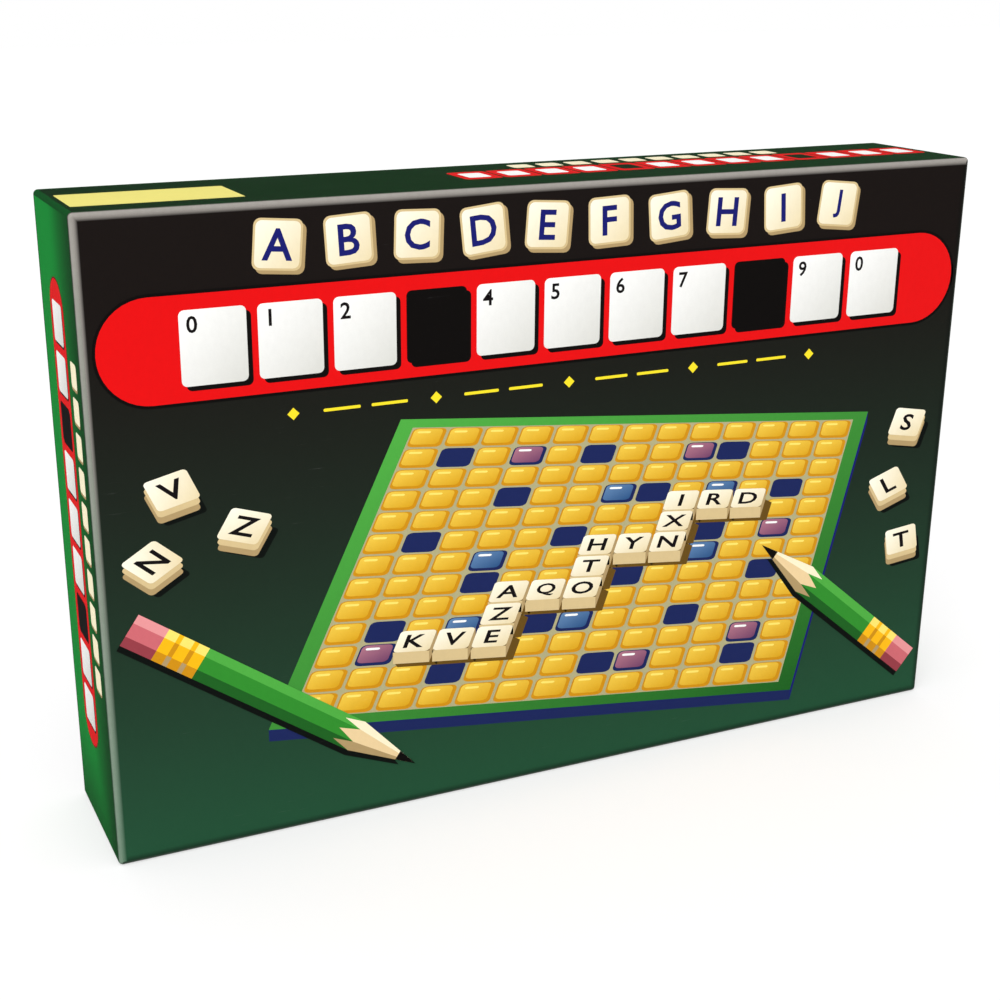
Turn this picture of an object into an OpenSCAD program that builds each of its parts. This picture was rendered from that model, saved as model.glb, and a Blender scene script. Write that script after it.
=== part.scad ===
// Travel crossword board game.
// A telescoping card box holds a dimpled playing board, four score-keeping racks and the letter tiles.
// Every piece is drawn with the box on its back and the lid up, and then stood on its long side.

/* [Card box] */
// Depth of the closed box, front to back
box_d = 44; // [40:1:60]
// Thickness of the lid's and the base's board
card_t = 1.6; // [1.2:0.1:2.4]
// Gap all round between the lid's walls and the base's walls
lid_gap = 0.3; // [0.2:0.1:0.6]
// How far the base stands out behind the lid's rim
base_show = 0.8; // [0.4:0.1:2]
// Radius of the paper-wrapped edges
edge_r = 1.2; // [0.5:0.1:1.5]
// Air between the lid's inner face and the tallest piece
top_gap = 0.8; // [0.4:0.1:2]

/* [Letter tiles] */
// Side of a letter tile
tile_w = 9.4; // [8:0.1:12]
// Thickness of a letter tile
tile_t = 4.2; // [3.4:0.1:6]
// Radius of a tile's upright corners
tile_r = 0.9; // [0.4:0.1:1.5]
// Bevel round a tile's face
tile_bevel = 0.5; // [0.2:0.1:0.8]
// Gap between stored tiles
tile_gap = 0.3; // [0.2:0.05:0.6]
// Columns of tiles in the tile tray
tile_columns = 7; // [4:1:7]
// Rows of tiles in the tile tray
tile_rows = 4; // [2:1:4]
// Layers of tiles in the tile tray
tile_layers = 3; // [1:1:3]

/* [Playing board] */
// Squares along each side of the board
cells = 15; // [13:2:15]
// Space between tiles on neighbouring squares
cell_gap = 0.6; // [0.4:0.1:1]
// Margin round the squares
board_border = 5; // [4:0.5:8]
// Width of the letter-value strip beside the squares
board_strip = 6; // [3:0.5:12]
// Radius of the frame's corners
board_r = 2; // [1:0.25:4]
// Width of the frame's raised rim
rim_w = 1.6; // [1.2:0.1:3]
// Floor thickness of the moulded frame
frame_floor = 1.2; // [1:0.1:2]
// Depth of the skirt and ribs under the frame's floor
frame_skirt = 1.8; // [1:0.1:3]
// Width of the step along the foot of the frame
frame_step = 0.6; // [0.3:0.1:1]
// Ribs each way under the frame
frame_ribs = 3; // [1:1:5]
// Thickness of the printed card
print_t = 0.4; // [0.3:0.05:0.8]
// Thickness of the clear sheet between its domes
clear_t = 0.6; // [0.4:0.1:1]
// Radius of a dome where it meets the sheet
dome_r = 3.5; // [2.8:0.1:3.6]
// Height of a dome
dome_h = 1.5; // [0.8:0.1:1.8]
// Gap between a dome and the socket of the tile on it
socket_gap = 0.15; // [0.1:0.05:0.3]

/* [Racks] */
// Racks in the box
racks = 4; // [2:1:4]
// Tiles that a rack holds
rack_tiles = 7; // [5:1:8]
// Length of a rack beyond its tiles at each end
rack_end = 2; // [1.5:0.5:6]
// Depth of a rack, front to back
rack_d = 25.5; // [24:0.5:27]
// Height of a rack
rack_h = 13.5; // [12:0.5:16]
// Radius of a rack's upright corners
rack_r = 1.2; // [0.6:0.1:1.4]
// Wall thickness of the moulded racks
rack_wall = 1.4; // [1:0.1:1.8]
// Depth of the ledge that the tiles stand on
ledge_d = 7.6; // [6.5:0.1:9]
// Height of the ledge
ledge_h = 3; // [2.8:0.1:4]
// Height of the lip along the front of the ledge
lip_h = 0.8; // [0.4:0.1:1.2]
// Run of the face that the tiles lean on
lean_run = 4.2; // [2:0.1:5]
// Fall of the top face from front to back
top_fall = 0.8; // [0:0.1:1.5]

/* [Score pointers] */
// Digits on each score scale
digits = 10; // [8:1:10]
// Spacing of the digits
digit_pitch = 1.7; // [1.4:0.1:1.8]
// Spacing of the score slots
slot_pitch = 22; // [21:0.5:24]
// Length of a pointer's stem along its slot
stem_l = 3.4; // [2.5:0.1:3.6]
// Width of a pointer's stem across its slot
stem_w = 1.7; // [1.4:0.1:2.2]
// Running gap round a pointer
pointer_gap = 0.2; // [0.15:0.05:0.3]
// Width of the white strip under the slots
strip_w = 6; // [4:0.5:8]
// Thickness of the white strip
strip_t = 0.6; // [0.4:0.1:1]
// Thickness of a pointer's foot
foot_t = 1.2; // [0.8:0.1:1.6]
// Height of the finger ridge above the foot
ridge_h = 1.9; // [1.2:0.1:2.4]

/* [Formed trays] */
// Thickness of the formed plastic sheet
sheet_t = 0.8; // [0.6:0.1:1]
// Gap round each tray
tray_gap = 0.2; // [0.1:0.05:0.4]
// Gap between a piece and the wall of its well
well_gap = 0.3; // [0.2:0.05:0.6]
// Distance from the lid's inner face down to the trays' flanges
flange_drop = 2.4; // [2:0.1:4]
// Flange at each end of the rack wells
rack_land = 4.6; // [3:0.1:8]
// Flange above and below the rack wells
end_land = 1.8; // [1.4:0.1:4]
// Spacing between neighbouring rack wells
well_web = 2.6; // [2.2:0.1:4]
// Flange round the board's well
board_land = 1; // [0.9:0.1:4]
// Radius of a tray's outer corners
tray_r = 2; // [1.2:0.1:3]
// Radius of the finger trough across the rack wells
finger_r = 10; // [7:0.5:11]

/* [Rules leaflet] */
// Side of the folded leaflet
leaflet_w = 140; // [100:1:145]
// Thickness of the leaflet's paper
paper_t = 0.12; // [0.1:0.01:0.2]
// Layers of the folded leaflet
leaflet_folds = 4; // [2:2:6]
// Space between the leaflet's layers
paper_gap = 0.06; // [0.05:0.01:0.1]

/* [Hidden] */
SCORES = ["hundreds", "tens", "units"];
RACK_NODES = [for (k = [1:racks]) str("rack_", k)];
POINTER_NODES = [for (k = [1:racks]) for (s = SCORES) str("rack_", k, "_", s, "_pointer")];
STRIP_NODES = [for (k = [1:racks]) str("rack_", k, "_slot_strip")];
LAYER_NODES = [for (k = [1:tile_layers]) str("tray_tiles_layer_", k)];
FIXED_NODES = ["lid", "base_box", "board_platform", "rack_tray", "tile_tray", "rules_leaflet",
    "board_frame", "board_card", "dome_sheet", "board_tiles"];

round_fn = 48;
eps = 0.01;
over = 1;

// Colours
print_green = [0.02, 0.30, 0.12];
base_green = [0.02, 0.16, 0.08];
tray_white = [0.88, 0.88, 0.85];
frame_blue = [0.10, 0.16, 0.42];
card_green = [0.20, 0.55, 0.20];
clear_tint = [0.90, 0.93, 0.95, 0.35];
ivory = [0.93, 0.88, 0.76];
rack_green = [0.13, 0.48, 0.13];
pointer_yellow = [0.98, 0.74, 0.05];
paper_white = [0.95, 0.95, 0.93];

// Sizes of the board
cell = tile_w + cell_gap;
grid = cells * cell;
board_w = grid + 2 * board_border + board_strip;
board_h = grid + 2 * board_border;
sheet_w = board_w - 2 * (rim_w + tray_gap);
sheet_h = board_h - 2 * (rim_w + tray_gap);
frame_h = frame_skirt + frame_floor + print_t + clear_t;
dome_ball_r = (dome_r * dome_r + dome_h * dome_h) / (2 * dome_h);
socket_r = dome_r + socket_gap;
socket_depth = dome_h + socket_gap;

// Sizes of the racks and their pointers
rack_l = rack_tiles * cell + 2 * rack_end;
lip_w = 1.2;
lip_slope = 0.4;
ledge_fall = 0.4;
brow = 0.7;
pointer_travel = (digits - 1) * digit_pitch;
slot_l = pointer_travel + stem_l + 2 * pointer_gap;
slot_w = stem_w + 2 * pointer_gap;
barb_t = 0.9;
barb_reach = 0.8;
foot_half = 2.6;
foot_back = 3.4;
foot_shoulder = 1.2;
foot_tip = 4.6;
ridge_t = 1.6;
ridge_top = 1.4;
rack_hollow_l = rack_l - 2 * rack_wall;
rib_t = 1.2;
rib_lift = 0.6;
strip_drop = rack_wall + barb_t + 2 * pointer_gap;

// Outlines of a rack seen from its end, front at the left: with its lip and brow, and plain for the hollow
back_top = [rack_d, rack_h - top_fall];
lean_top = [ledge_d + lean_run, rack_h];
lean_foot = [ledge_d, ledge_h - ledge_fall];
rack_outline = [
    [0, 0],
    [rack_d, 0],
    back_top,
    lean_top + brow * unit(back_top - lean_top),
    lean_top + brow * unit(lean_foot - lean_top),
    lean_foot,
    [lip_w + lip_slope, ledge_h],
    [lip_w, ledge_h + lip_h],
    [0, ledge_h + lip_h],
];
shell_outline = [[0, 0], [rack_d, 0], back_top, lean_top, lean_foot, [0, ledge_h]];
top_tilt = -atan2(top_fall, rack_d - lean_top.x);
slot_y = (rack_d + lean_top.x) / 2;
slot_z = rack_h - top_fall / 2;

// Sizes of the trays and the box around them
leaflet_t = leaflet_folds * paper_t + (leaflet_folds - 1) * paper_gap;
tile_pitch = tile_w + tile_gap;
layer_pitch = tile_t + tile_gap;
bay_w = board_w + 2 * well_gap;
bay_h = board_h + 2 * well_gap;
rack_well_w = rack_l + 2 * well_gap;
rack_well_h = rack_d + 2 * well_gap;
tile_well_w = tile_columns * tile_pitch + tile_gap;
tile_well_h = tile_rows * tile_pitch + tile_gap;
platform_w = bay_w + 2 * board_land;
rack_tray_h = racks * rack_well_h + (racks - 1) * well_web + 2 * end_land;
column_w = max(rack_well_w, tile_well_w) + 2 * rack_land;
column_need = rack_tray_h + tray_gap + tile_well_h + 2 * end_land;
trays_h = max(bay_h + 2 * board_land, column_need);
tile_tray_h = trays_h - rack_tray_h - tray_gap;
trays_w = platform_w + tray_gap + column_w;
wall_pair = 2 * card_t + lid_gap;
box_w = trays_w + 2 * (tray_gap + wall_pair);
box_h = trays_h + 2 * (tray_gap + wall_pair);

// Levels above the box's back, with the lid up
floor_z = card_t;
lid_inner_z = box_d - card_t;
flange_z = lid_inner_z - flange_drop;
tray_h = flange_z - floor_z;
board_face_z = lid_inner_z - top_gap - tile_t;
board_z = board_face_z - frame_h;
leaflet_z = board_z - tray_gap - leaflet_t;
deck_z = leaflet_z;
rack_z = lid_inner_z - top_gap - ridge_h - foot_t - rack_h;
tile_floor_z = flange_z - tile_layers * layer_pitch;

// Places of the trays and of the pieces in them
trays_x = -trays_w / 2;
trays_y = wall_pair + tray_gap;
column_x = trays_x + platform_w + tray_gap;
rack_tray_y = trays_y + tile_tray_h + tray_gap;
board_x = trays_x + (platform_w - board_w) / 2;
board_y = trays_y + (trays_h - board_h) / 2;
grid_x = board_x + board_border;
grid_y = board_y + board_border;
rack_x = column_x + column_w / 2;
tile_x = column_x + (column_w - tile_well_w) / 2;
tile_y = trays_y + (tile_tray_h - tile_well_h) / 2;

// Runs of tiles clipped on the board: first column, first row, step across, step up, count
tile_runs = [[4, 8, 1, 0, 7], [6, 9, 0, 1, 3], [6, 5, 0, 1, 3], [10, 5, 0, 1, 3]];

function unit(v) = v / norm(v);
function inward(v) = [-v.y, v.x];
function corner_shift(a, b) = (a + b) / (1 + a * b);
// Polygon drawn in by a wall's thickness; its points run anticlockwise
function inset(p, d) = let (n = len(p)) [
    for (i = [0:n - 1])
        let (
            before = inward(unit(p[i] - p[(i + n - 1) % n])),
            after = inward(unit(p[(i + 1) % n] - p[i]))
        )
        p[i] + d * corner_shift(before, after)
];
function rack_y(k) = rack_tray_y + end_land + well_gap + (racks - 1 - k) * (rack_well_h + well_web);
function slot_x(s) = (s - (len(SCORES) - 1) / 2) * slot_pitch;

// Stands a piece that was drawn with the lid up on the box's long side, front towards -Y
module stood_up() {
    translate([0, box_d / 2, 0])
        rotate([90, 0, 0])
            children();
}

// Rectangle with round corners, its lower left corner at the origin
module round_rect(w, h, r) {
    translate([r, 0]) square([w - 2 * r, h]);
    translate([0, r]) square([w, h - 2 * r]);
    for (x = [r, w - r])
        for (y = [r, h - r])
            translate([x, y]) circle(r, $fn = round_fn);
}

module round_block(w, h, d, r) {
    linear_extrude(d)
        round_rect(w, h, r);
}

// Box from z = 0 up to d, centred on x, with its upright edges and its far face's edges rounded
module folded_box(w, h, d, r) {
    tail = 2 * r;
    intersection() {
        translate([-w / 2, 0, 0])
            round_block(w, h, d, r);
        translate([-w / 2, h + over, -tail])
            rotate([90, 0, 0])
                round_block(w, d + tail, h + 2 * over, r);
        translate([-w / 2 - over, 0, -tail])
            rotate([90, 0, 90])
                round_block(h, d + tail, w + 2 * over, r);
    }
}

// Lower half of a round bar that runs along y with its axis on the flanges
module half_bar(place, l, r) {
    translate([place.x, place.y, flange_z])
        intersection() {
            rotate([-90, 0, 0])
                cylinder(h = l, r = r, $fn = round_fn);
            translate([-r - over, -over, -r - over])
                cube([2 * (r + over), l + 2 * over, r + over - eps]);
        }
}

// Formed sheet tray with a skirt that stands on the box's floor; a well is [x, y, w, h, floor z, corner radius]
// and a trough is [x, y, length, radius]
module formed_tray(w, h, wells, troughs = []) {
    difference() {
        union() {
            difference() {
                translate([0, 0, floor_z])
                    round_block(w, h, tray_h, tray_r);
                translate([sheet_t, sheet_t, floor_z - over])
                    round_block(w - 2 * sheet_t, h - 2 * sheet_t, tray_h + over - sheet_t, tray_r - sheet_t);
            }
            for (p = wells)
                translate([p[0] - sheet_t, p[1] - sheet_t, p[4] - sheet_t])
                    round_block(p[2] + 2 * sheet_t, p[3] + 2 * sheet_t,
                        flange_z - p[4] + sheet_t - eps, p[5] + sheet_t);
            for (p = troughs)
                half_bar(p, p[2], p[3] + sheet_t);
        }
        for (p = wells)
            translate([p[0], p[1], p[4]])
                round_block(p[2], p[3], flange_z - p[4] + over, p[5]);
        for (p = troughs)
            translate([p[0], p[1], flange_z])
                rotate([-90, 0, 0])
                    cylinder(h = p[2], r = p[3], $fn = round_fn);
    }
}

// Letter tile with a bevelled face and a socket in its back that grips a dome, centred on x and y
module tile() {
    half = tile_w / 2;
    shoulder = [
        [-half, 0],
        [half, 0],
        [half, tile_t - tile_bevel],
        [half - tile_bevel, tile_t],
        [tile_bevel - half, tile_t],
        [-half, tile_t - tile_bevel],
    ];
    difference() {
        intersection() {
            translate([-half, -half, 0])
                round_block(tile_w, tile_w, tile_t, tile_r);
            for_side(shoulder, 0);
            for_side(shoulder, 90);
        }
        translate([0, 0, -eps])
            cylinder(h = socket_depth + eps, r = socket_r, $fn = round_fn);
    }
}

// Upright outline run through a tile, turned about the tile's middle
module for_side(outline, turn) {
    rotate([0, 0, turn])
        rotate([90, 0, 0])
            linear_extrude(tile_w + 2 * over, center = true)
                polygon(outline);
}

// Places children on the top face of a rack, at a slot's middle
module on_top_face(s) {
    translate([slot_x(s), slot_y, slot_z])
        rotate([top_tilt, 0, 0])
            children();
}

// Runs a rack's end outline along its length
module along_rack(outline, l) {
    rotate([90, 0, 90])
        linear_extrude(l, center = true)
            polygon(outline);
}

// Moulded rack, hollow from below, with a slot for each score and ribs that hold the slot strip; centred on x
module rack_body() {
    inner = inset(shell_outline, rack_wall);
    hollow = [
        for (i = [0:len(inner) - 1])
            i < 2 ? [inner[i].x, -over] : inner[i]
    ];
    window_w = strip_w + 2 * pointer_gap;
    window_t = strip_t + 2 * pointer_gap;
    difference() {
        intersection() {
            along_rack(rack_outline, rack_l);
            translate([-rack_l / 2, 0, 0])
                round_block(rack_l, rack_d, rack_h, rack_r);
        }
        difference() {
            along_rack(hollow, rack_hollow_l);
            for (s = [0:len(SCORES) - 2])
                translate([slot_x(s) + (slot_pitch - rib_t) / 2, rack_wall / 2, rib_lift])
                    cube([rib_t, rack_d - rack_wall, rack_h]);
        }
        on_top_face(1)
            translate([-rack_hollow_l / 2, -window_w / 2, -strip_drop - window_t + pointer_gap])
                cube([rack_hollow_l, window_w, window_t]);
        for (s = [0:len(SCORES) - 1])
            on_top_face(s)
                translate([-slot_l / 2, -slot_w / 2, -2 * rack_wall])
                    cube([slot_l, slot_w, 4 * rack_wall]);
    }
}

// White strip that shows through the score slots, threaded through the ribs
module strip_body() {
    on_top_face(1)
        translate([pointer_gap - rack_hollow_l / 2, -strip_w / 2, -strip_drop - strip_t])
            cube([rack_hollow_l - 2 * pointer_gap, strip_w, strip_t]);
}

// Score pointer at its first digit: an arrow-shaped foot with a finger ridge, and a barbed stem in the slot
module pointer_body(s) {
    arrow = [
        [0, -foot_tip],
        [foot_half, -foot_shoulder],
        [foot_half, foot_back],
        [-foot_half, foot_back],
        [-foot_half, -foot_shoulder],
    ];
    ridge = [
        [-foot_shoulder, 0],
        [foot_back, 0],
        [foot_back, ridge_h],
        [foot_back - ridge_top, ridge_h],
    ];
    stem_drop = rack_wall + pointer_gap;
    on_top_face(s)
        translate([-pointer_travel / 2, 0, pointer_gap / 2]) {
            linear_extrude(foot_t)
                polygon(arrow);
            translate([0, 0, foot_t - eps])
                along_rack(ridge, ridge_t);
            translate([-stem_l / 2, -stem_w / 2, -stem_drop - barb_t])
                cube([stem_l, stem_w, stem_drop + barb_t + eps]);
            translate([-stem_l / 2, -stem_w / 2 - barb_reach, -stem_drop - barb_t])
                cube([stem_l, stem_w + 2 * barb_reach, barb_t]);
        }
}

module in_rack_well(k) {
    translate([rack_x, rack_y(k), rack_z])
        children();
}

// Lid: a shallow card box whose walls reach almost to the base's back
module lid() {
    color(print_green)
        difference() {
            translate([0, 0, base_show])
                folded_box(box_w, box_h, box_d - base_show, edge_r);
            translate([card_t - box_w / 2, card_t, -over])
                cube([box_w - 2 * card_t, box_h - 2 * card_t, lid_inner_z + over]);
        }
}

// Base: a card box that slides inside the lid, open towards the front
module base_box() {
    inset_w = card_t + lid_gap;
    base_w = box_w - 2 * inset_w;
    base_h = box_h - 2 * inset_w;
    rim_z = lid_inner_z - tray_gap;
    color(base_green)
        difference() {
            translate([0, inset_w, rim_z])
                mirror([0, 0, 1])
                    folded_box(base_w, base_h, rim_z, edge_r);
            translate([card_t - base_w / 2, inset_w + card_t, floor_z])
                cube([base_w - 2 * card_t, base_h - 2 * card_t, box_d]);
        }
}

// Raised platform that carries the board close under the lid
module board_platform() {
    bay_x = (platform_w - bay_w) / 2;
    bay_y = (trays_h - bay_h) / 2;
    color(tray_white)
        translate([trays_x, trays_y, 0])
            formed_tray(platform_w, trays_h, [[bay_x, bay_y, bay_w, bay_h, deck_z, board_r + well_gap]]);
}

module rack_tray() {
    well_x = (column_w - rack_well_w) / 2;
    wells = [
        for (k = [0:racks - 1])
            [well_x, rack_y(k) - well_gap - rack_tray_y, rack_well_w, rack_well_h, rack_z, rack_r + well_gap]
    ];
    trough_y = rack_y(racks - 1) + rack_d / 2 - rack_tray_y;
    trough_l = (racks - 1) * (rack_well_h + well_web);
    color(tray_white)
        translate([column_x, rack_tray_y, 0])
            formed_tray(column_w, rack_tray_h, wells, [[column_w / 2, trough_y, trough_l, finger_r]]);
}

module tile_tray() {
    corner = tile_r + tile_gap;
    well = [tile_x - column_x, tile_y - trays_y, tile_well_w, tile_well_h, tile_floor_z, corner];
    color(tray_white)
        translate([column_x, trays_y, 0])
            formed_tray(column_w, tile_tray_h, [well]);
}

module tray_tiles(layer) {
    color(ivory)
        for (i = [0:tile_columns - 1])
            for (j = [0:tile_rows - 1])
                translate([
                    tile_x + tile_gap + tile_w / 2 + i * tile_pitch,
                    tile_y + tile_gap + tile_w / 2 + j * tile_pitch,
                    tile_floor_z + layer * layer_pitch
                ])
                    tile();
}

// Leaflet folded zigzag, lying under the board
module rules_leaflet() {
    step = paper_t + paper_gap;
    color(paper_white)
        translate([board_x + (board_w - leaflet_w) / 2, board_y + (board_h - leaflet_w) / 2, leaflet_z])
            for (k = [0:leaflet_folds - 1]) {
                translate([0, 0, k * step])
                    cube([leaflet_w, leaflet_w, paper_t]);
                if (k < leaflet_folds - 1)
                    translate([k % 2 == 0 ? leaflet_w - paper_t : 0, 0, k * step])
                        cube([paper_t, leaflet_w, step + paper_t]);
            }
}

// Moulded frame of the board: floor, raised rim, skirt with a stepped foot, and ribs underneath
module board_frame() {
    foot_h = frame_skirt / 2;
    rib_t = rim_w;
    color(frame_blue)
        translate([board_x, board_y, board_z])
            difference() {
                union() {
                    round_block(board_w, board_h, foot_h, board_r);
                    translate([frame_step, frame_step, 0])
                        round_block(board_w - 2 * frame_step, board_h - 2 * frame_step, frame_h, board_r);
                }
                translate([rim_w, rim_w, frame_skirt + frame_floor])
                    cube([board_w - 2 * rim_w, board_h - 2 * rim_w, frame_h]);
                translate([0, 0, -over])
                    difference() {
                        translate([rim_w, rim_w, 0])
                            cube([board_w - 2 * rim_w, board_h - 2 * rim_w, frame_skirt + over]);
                        for (i = [1:frame_ribs]) {
                            translate([i * board_w / (frame_ribs + 1) - rib_t / 2, 0, 0])
                                cube([rib_t, board_h, box_d]);
                            translate([0, i * board_h / (frame_ribs + 1) - rib_t / 2, 0])
                                cube([board_w, rib_t, box_d]);
                        }
                    }
            }
}

// Printed card that lies in the frame
module board_card() {
    color(card_green)
        translate([board_x + rim_w + tray_gap, board_y + rim_w + tray_gap, board_face_z - clear_t - print_t])
            cube([sheet_w, sheet_h, print_t]);
}

// Clear sheet over the printed card, with a dome on every square
module dome_sheet() {
    color(clear_tint) {
        translate([board_x + rim_w + tray_gap, board_y + rim_w + tray_gap, board_face_z - clear_t])
            cube([sheet_w, sheet_h, clear_t]);
        for (i = [0:cells - 1])
            for (j = [0:cells - 1])
                translate([grid_x + (i + 0.5) * cell, grid_y + (j + 0.5) * cell, board_face_z])
                    dome();
    }
}

// Cap of a ball, sunk a little into the sheet
module dome() {
    intersection() {
        translate([0, 0, dome_h - dome_ball_r])
            sphere(dome_ball_r, $fn = round_fn);
        translate([0, 0, -clear_t / 2])
            cylinder(h = dome_h + clear_t, r = dome_r, $fn = round_fn);
    }
}

module board_tiles() {
    color(ivory)
        for (run = tile_runs)
            for (n = [0:run[4] - 1])
                translate([
                    grid_x + (run[0] + n * run[2] + 0.5) * cell,
                    grid_y + (run[1] + n * run[3] + 0.5) * cell,
                    board_face_z
                ])
                    tile();
}

module rack(k) {
    color(rack_green)
        in_rack_well(k)
            rack_body();
}

module slot_strip(k) {
    color(paper_white)
        in_rack_well(k)
            strip_body();
}

module pointer(k, s) {
    color(pointer_yellow)
        in_rack_well(k)
            pointer_body(s);
}

stood_up() lid();
stood_up() base_box();
stood_up() board_platform();
stood_up() rack_tray();
stood_up() tile_tray();
stood_up() rules_leaflet();
stood_up() board_frame();
stood_up() board_card();
stood_up() dome_sheet();
stood_up() board_tiles();
for (k = [0:tile_layers - 1])
    stood_up() tray_tiles(k);
for (k = [0:racks - 1])
    stood_up() rack(k);
for (k = [0:racks - 1])
    stood_up() slot_strip(k);
for (k = [0:racks - 1])
    for (s = [0:len(SCORES) - 1])
        stood_up() pointer(k, s);
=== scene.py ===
"""Finishes a boxed travel crossword game: printed box, moulded board and racks, domes and letter tiles."""

import logging
import math
from collections.abc import Callable, Iterable, Iterator, Sequence
from contextlib import contextmanager
from dataclasses import dataclass, field
from enum import Enum, IntEnum

import bmesh
import bpy
from bpy.types import ID, Material, Mesh, Node, NodeSocket, NodeTree, Object
from mathutils import Matrix, Vector


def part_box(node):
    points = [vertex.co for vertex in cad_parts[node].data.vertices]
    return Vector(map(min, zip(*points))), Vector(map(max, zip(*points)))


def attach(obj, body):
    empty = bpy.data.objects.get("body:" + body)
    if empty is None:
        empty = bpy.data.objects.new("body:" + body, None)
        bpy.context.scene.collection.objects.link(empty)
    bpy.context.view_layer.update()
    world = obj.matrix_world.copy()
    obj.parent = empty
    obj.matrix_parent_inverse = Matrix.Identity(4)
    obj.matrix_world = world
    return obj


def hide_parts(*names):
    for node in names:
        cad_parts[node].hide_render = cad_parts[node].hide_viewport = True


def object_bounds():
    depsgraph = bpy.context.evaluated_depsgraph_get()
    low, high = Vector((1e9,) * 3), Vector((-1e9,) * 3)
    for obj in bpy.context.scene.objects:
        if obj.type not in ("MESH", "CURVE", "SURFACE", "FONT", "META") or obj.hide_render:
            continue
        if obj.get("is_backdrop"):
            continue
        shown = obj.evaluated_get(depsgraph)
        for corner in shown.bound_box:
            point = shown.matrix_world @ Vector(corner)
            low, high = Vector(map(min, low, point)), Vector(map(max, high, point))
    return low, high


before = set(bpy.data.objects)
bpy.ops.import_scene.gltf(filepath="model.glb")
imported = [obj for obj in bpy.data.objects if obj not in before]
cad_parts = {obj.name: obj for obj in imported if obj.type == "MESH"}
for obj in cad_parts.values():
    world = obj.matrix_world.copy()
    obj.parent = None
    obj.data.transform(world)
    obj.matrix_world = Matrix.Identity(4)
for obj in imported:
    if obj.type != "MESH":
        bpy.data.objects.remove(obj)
CAD_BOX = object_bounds()

MM = 0.001
HAIR = 0.015 * MM
WELD = HAIR / 10
FLAT_TURN = math.radians(0.5)
SHARP_TURN = math.radians(25.0)
BACK_FACING = 0.9
INK = "ink"
WEAR = "wear"

Point = tuple[float, float]
Spot = tuple[float, float, float]
Colour = tuple[float, float, float]
Place = Callable[[float, float], Point]
Tint = Callable[[float, float], Colour]
Feed = NodeSocket | float | Colour

log = logging.getLogger("crossword_game")


class Shade(Enum):
    """Inks and body colours, as screen values from 0 to 255."""

    NIGHT = (27, 21, 19)
    MOSS = (30, 40, 31)
    PINE = (34, 82, 55)
    LEAF = (0, 142, 50)
    BOTTLE = (0, 78, 27)
    LID_TOP = (0, 43, 8)
    SIGNAL_RED = (228, 2, 6)
    DARK_RED = (110, 4, 8)
    # Painted highlight on the front's top and left folds: grey above, greener towards the foot.
    FOLD_GREY = (146, 141, 135)
    FOLD_GREEN = (98, 128, 106)
    # Dark ink of the picture's drawn shadows, also mixed into the painted shade on the front's right and
    # lower folds.
    SHADOW = (14, 19, 16)
    SUN_YELLOW = (255, 228, 110)
    RUBBER = (206, 104, 112)
    RUBBER_DARK = (150, 60, 70)
    RUBBER_LIGHT = (232, 150, 152)
    WOOD = (236, 208, 158)
    COAL = (16, 13, 12)
    WHITE = (250, 250, 248)
    CREAM = (250, 240, 205)
    CREAM_EDGE = (214, 190, 140)
    CREAM_SIDE = (176, 150, 104)
    NAVY = (22, 26, 110)
    LETTER_BLACK = (22, 18, 20)
    LABEL_YELLOW = (238, 227, 124)
    RULE_YELLOW = (246, 224, 40)
    DOT_YELLOW = (232, 184, 22)
    DOT_AMBER = (206, 142, 12)
    UMBER = (104, 76, 24)
    TILE_SHINE = (255, 251, 232)
    TILE_DUSK = (232, 214, 170)
    SQUARE_GREY = (214, 214, 208)
    DOT_BLUE = (46, 112, 168)
    DOT_PINK = (166, 84, 112)
    DOT_TEAL = (30, 146, 120)
    FIELD_GREY = (176, 170, 128)
    BORDER_GREEN = (58, 140, 58)
    FRAME_BLUE = (26, 38, 92)
    RACK_LIGHT = (78, 172, 66)
    RACK_MID = (48, 142, 44)
    RACK_DARK = (28, 98, 32)
    POINTER_YELLOW = (250, 186, 12)
    LINER = (206, 202, 192)
    BASE_BLACK = (20, 20, 20)
    PAPER = (238, 236, 228)
    PRINT_GREY = (96, 96, 96)
    SHEET_WHITE = (232, 232, 226)
    IVORY = (236, 222, 184)
    STRIP_WHITE = (240, 240, 238)

    @property
    def linear(self) -> Colour:
        """The shade in scene-linear values."""
        return linear(self.value)


class Ply(IntEnum):
    """Layers of a print, from the sheet up. Shapes that overlap lie on different ones."""

    GROUND = 0
    EDGE = 1
    BODY = 2
    FIELD = 3
    FOOT = 4
    RAISED = 5
    GLINT = 6
    SHADOW = 7
    SIDE = 8
    FACE = 9
    MARK = 10


class Effect(Enum):
    """Shader groups that several finishes share."""

    PAPER_FIBRE = "paper_fibre"
    HANDLING = "handling"
    MOULDED_SKIN = "moulded_skin"


def linear(screen: Sequence[float]) -> Colour:
    """Turns screen values from 0 to 255 into scene-linear ones from 0 to 1."""
    parts = [value / 255.0 for value in screen]
    return tuple(p / 12.92 if p <= 0.04045 else ((p + 0.055) / 1.055) ** 2.4 for p in parts)


def between(value: float, start: float, end: float) -> float:
    """Share of the way from start to end, held between 0 and 1."""
    return min(max((value - start) / (end - start), 0.0), 1.0)


def mix(first: Shade, second: Shade, share: float) -> Colour:
    """Blends two shades on screen values, the second by its share."""
    return linear([a + (b - a) * share for a, b in zip(first.value, second.value)])


def linear_mix(first: Colour, second: Colour, share: float) -> Colour:
    """Blends two scene-linear colours, the second by its share."""
    return tuple(a + (b - a) * share for a, b in zip(first, second))


def slanted(centre: Point, size: float, light: Colour, dark: Colour) -> Tint:
    """Ink that runs from light at the upper left of a shape to dark at its lower right.

    Args:
        centre: Middle of the shape.
        size: Width of the shape.
        light: Ink at the upper left.
        dark: Ink at the lower right.

    Returns:
        A function from a point of the shape to its ink.
    """
    def ink_at(u: float, v: float) -> Colour:
        """Ink at a point."""
        return linear_mix(light, dark, between(u - centre[0] - v + centre[1], -size, size))

    return ink_at


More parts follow.
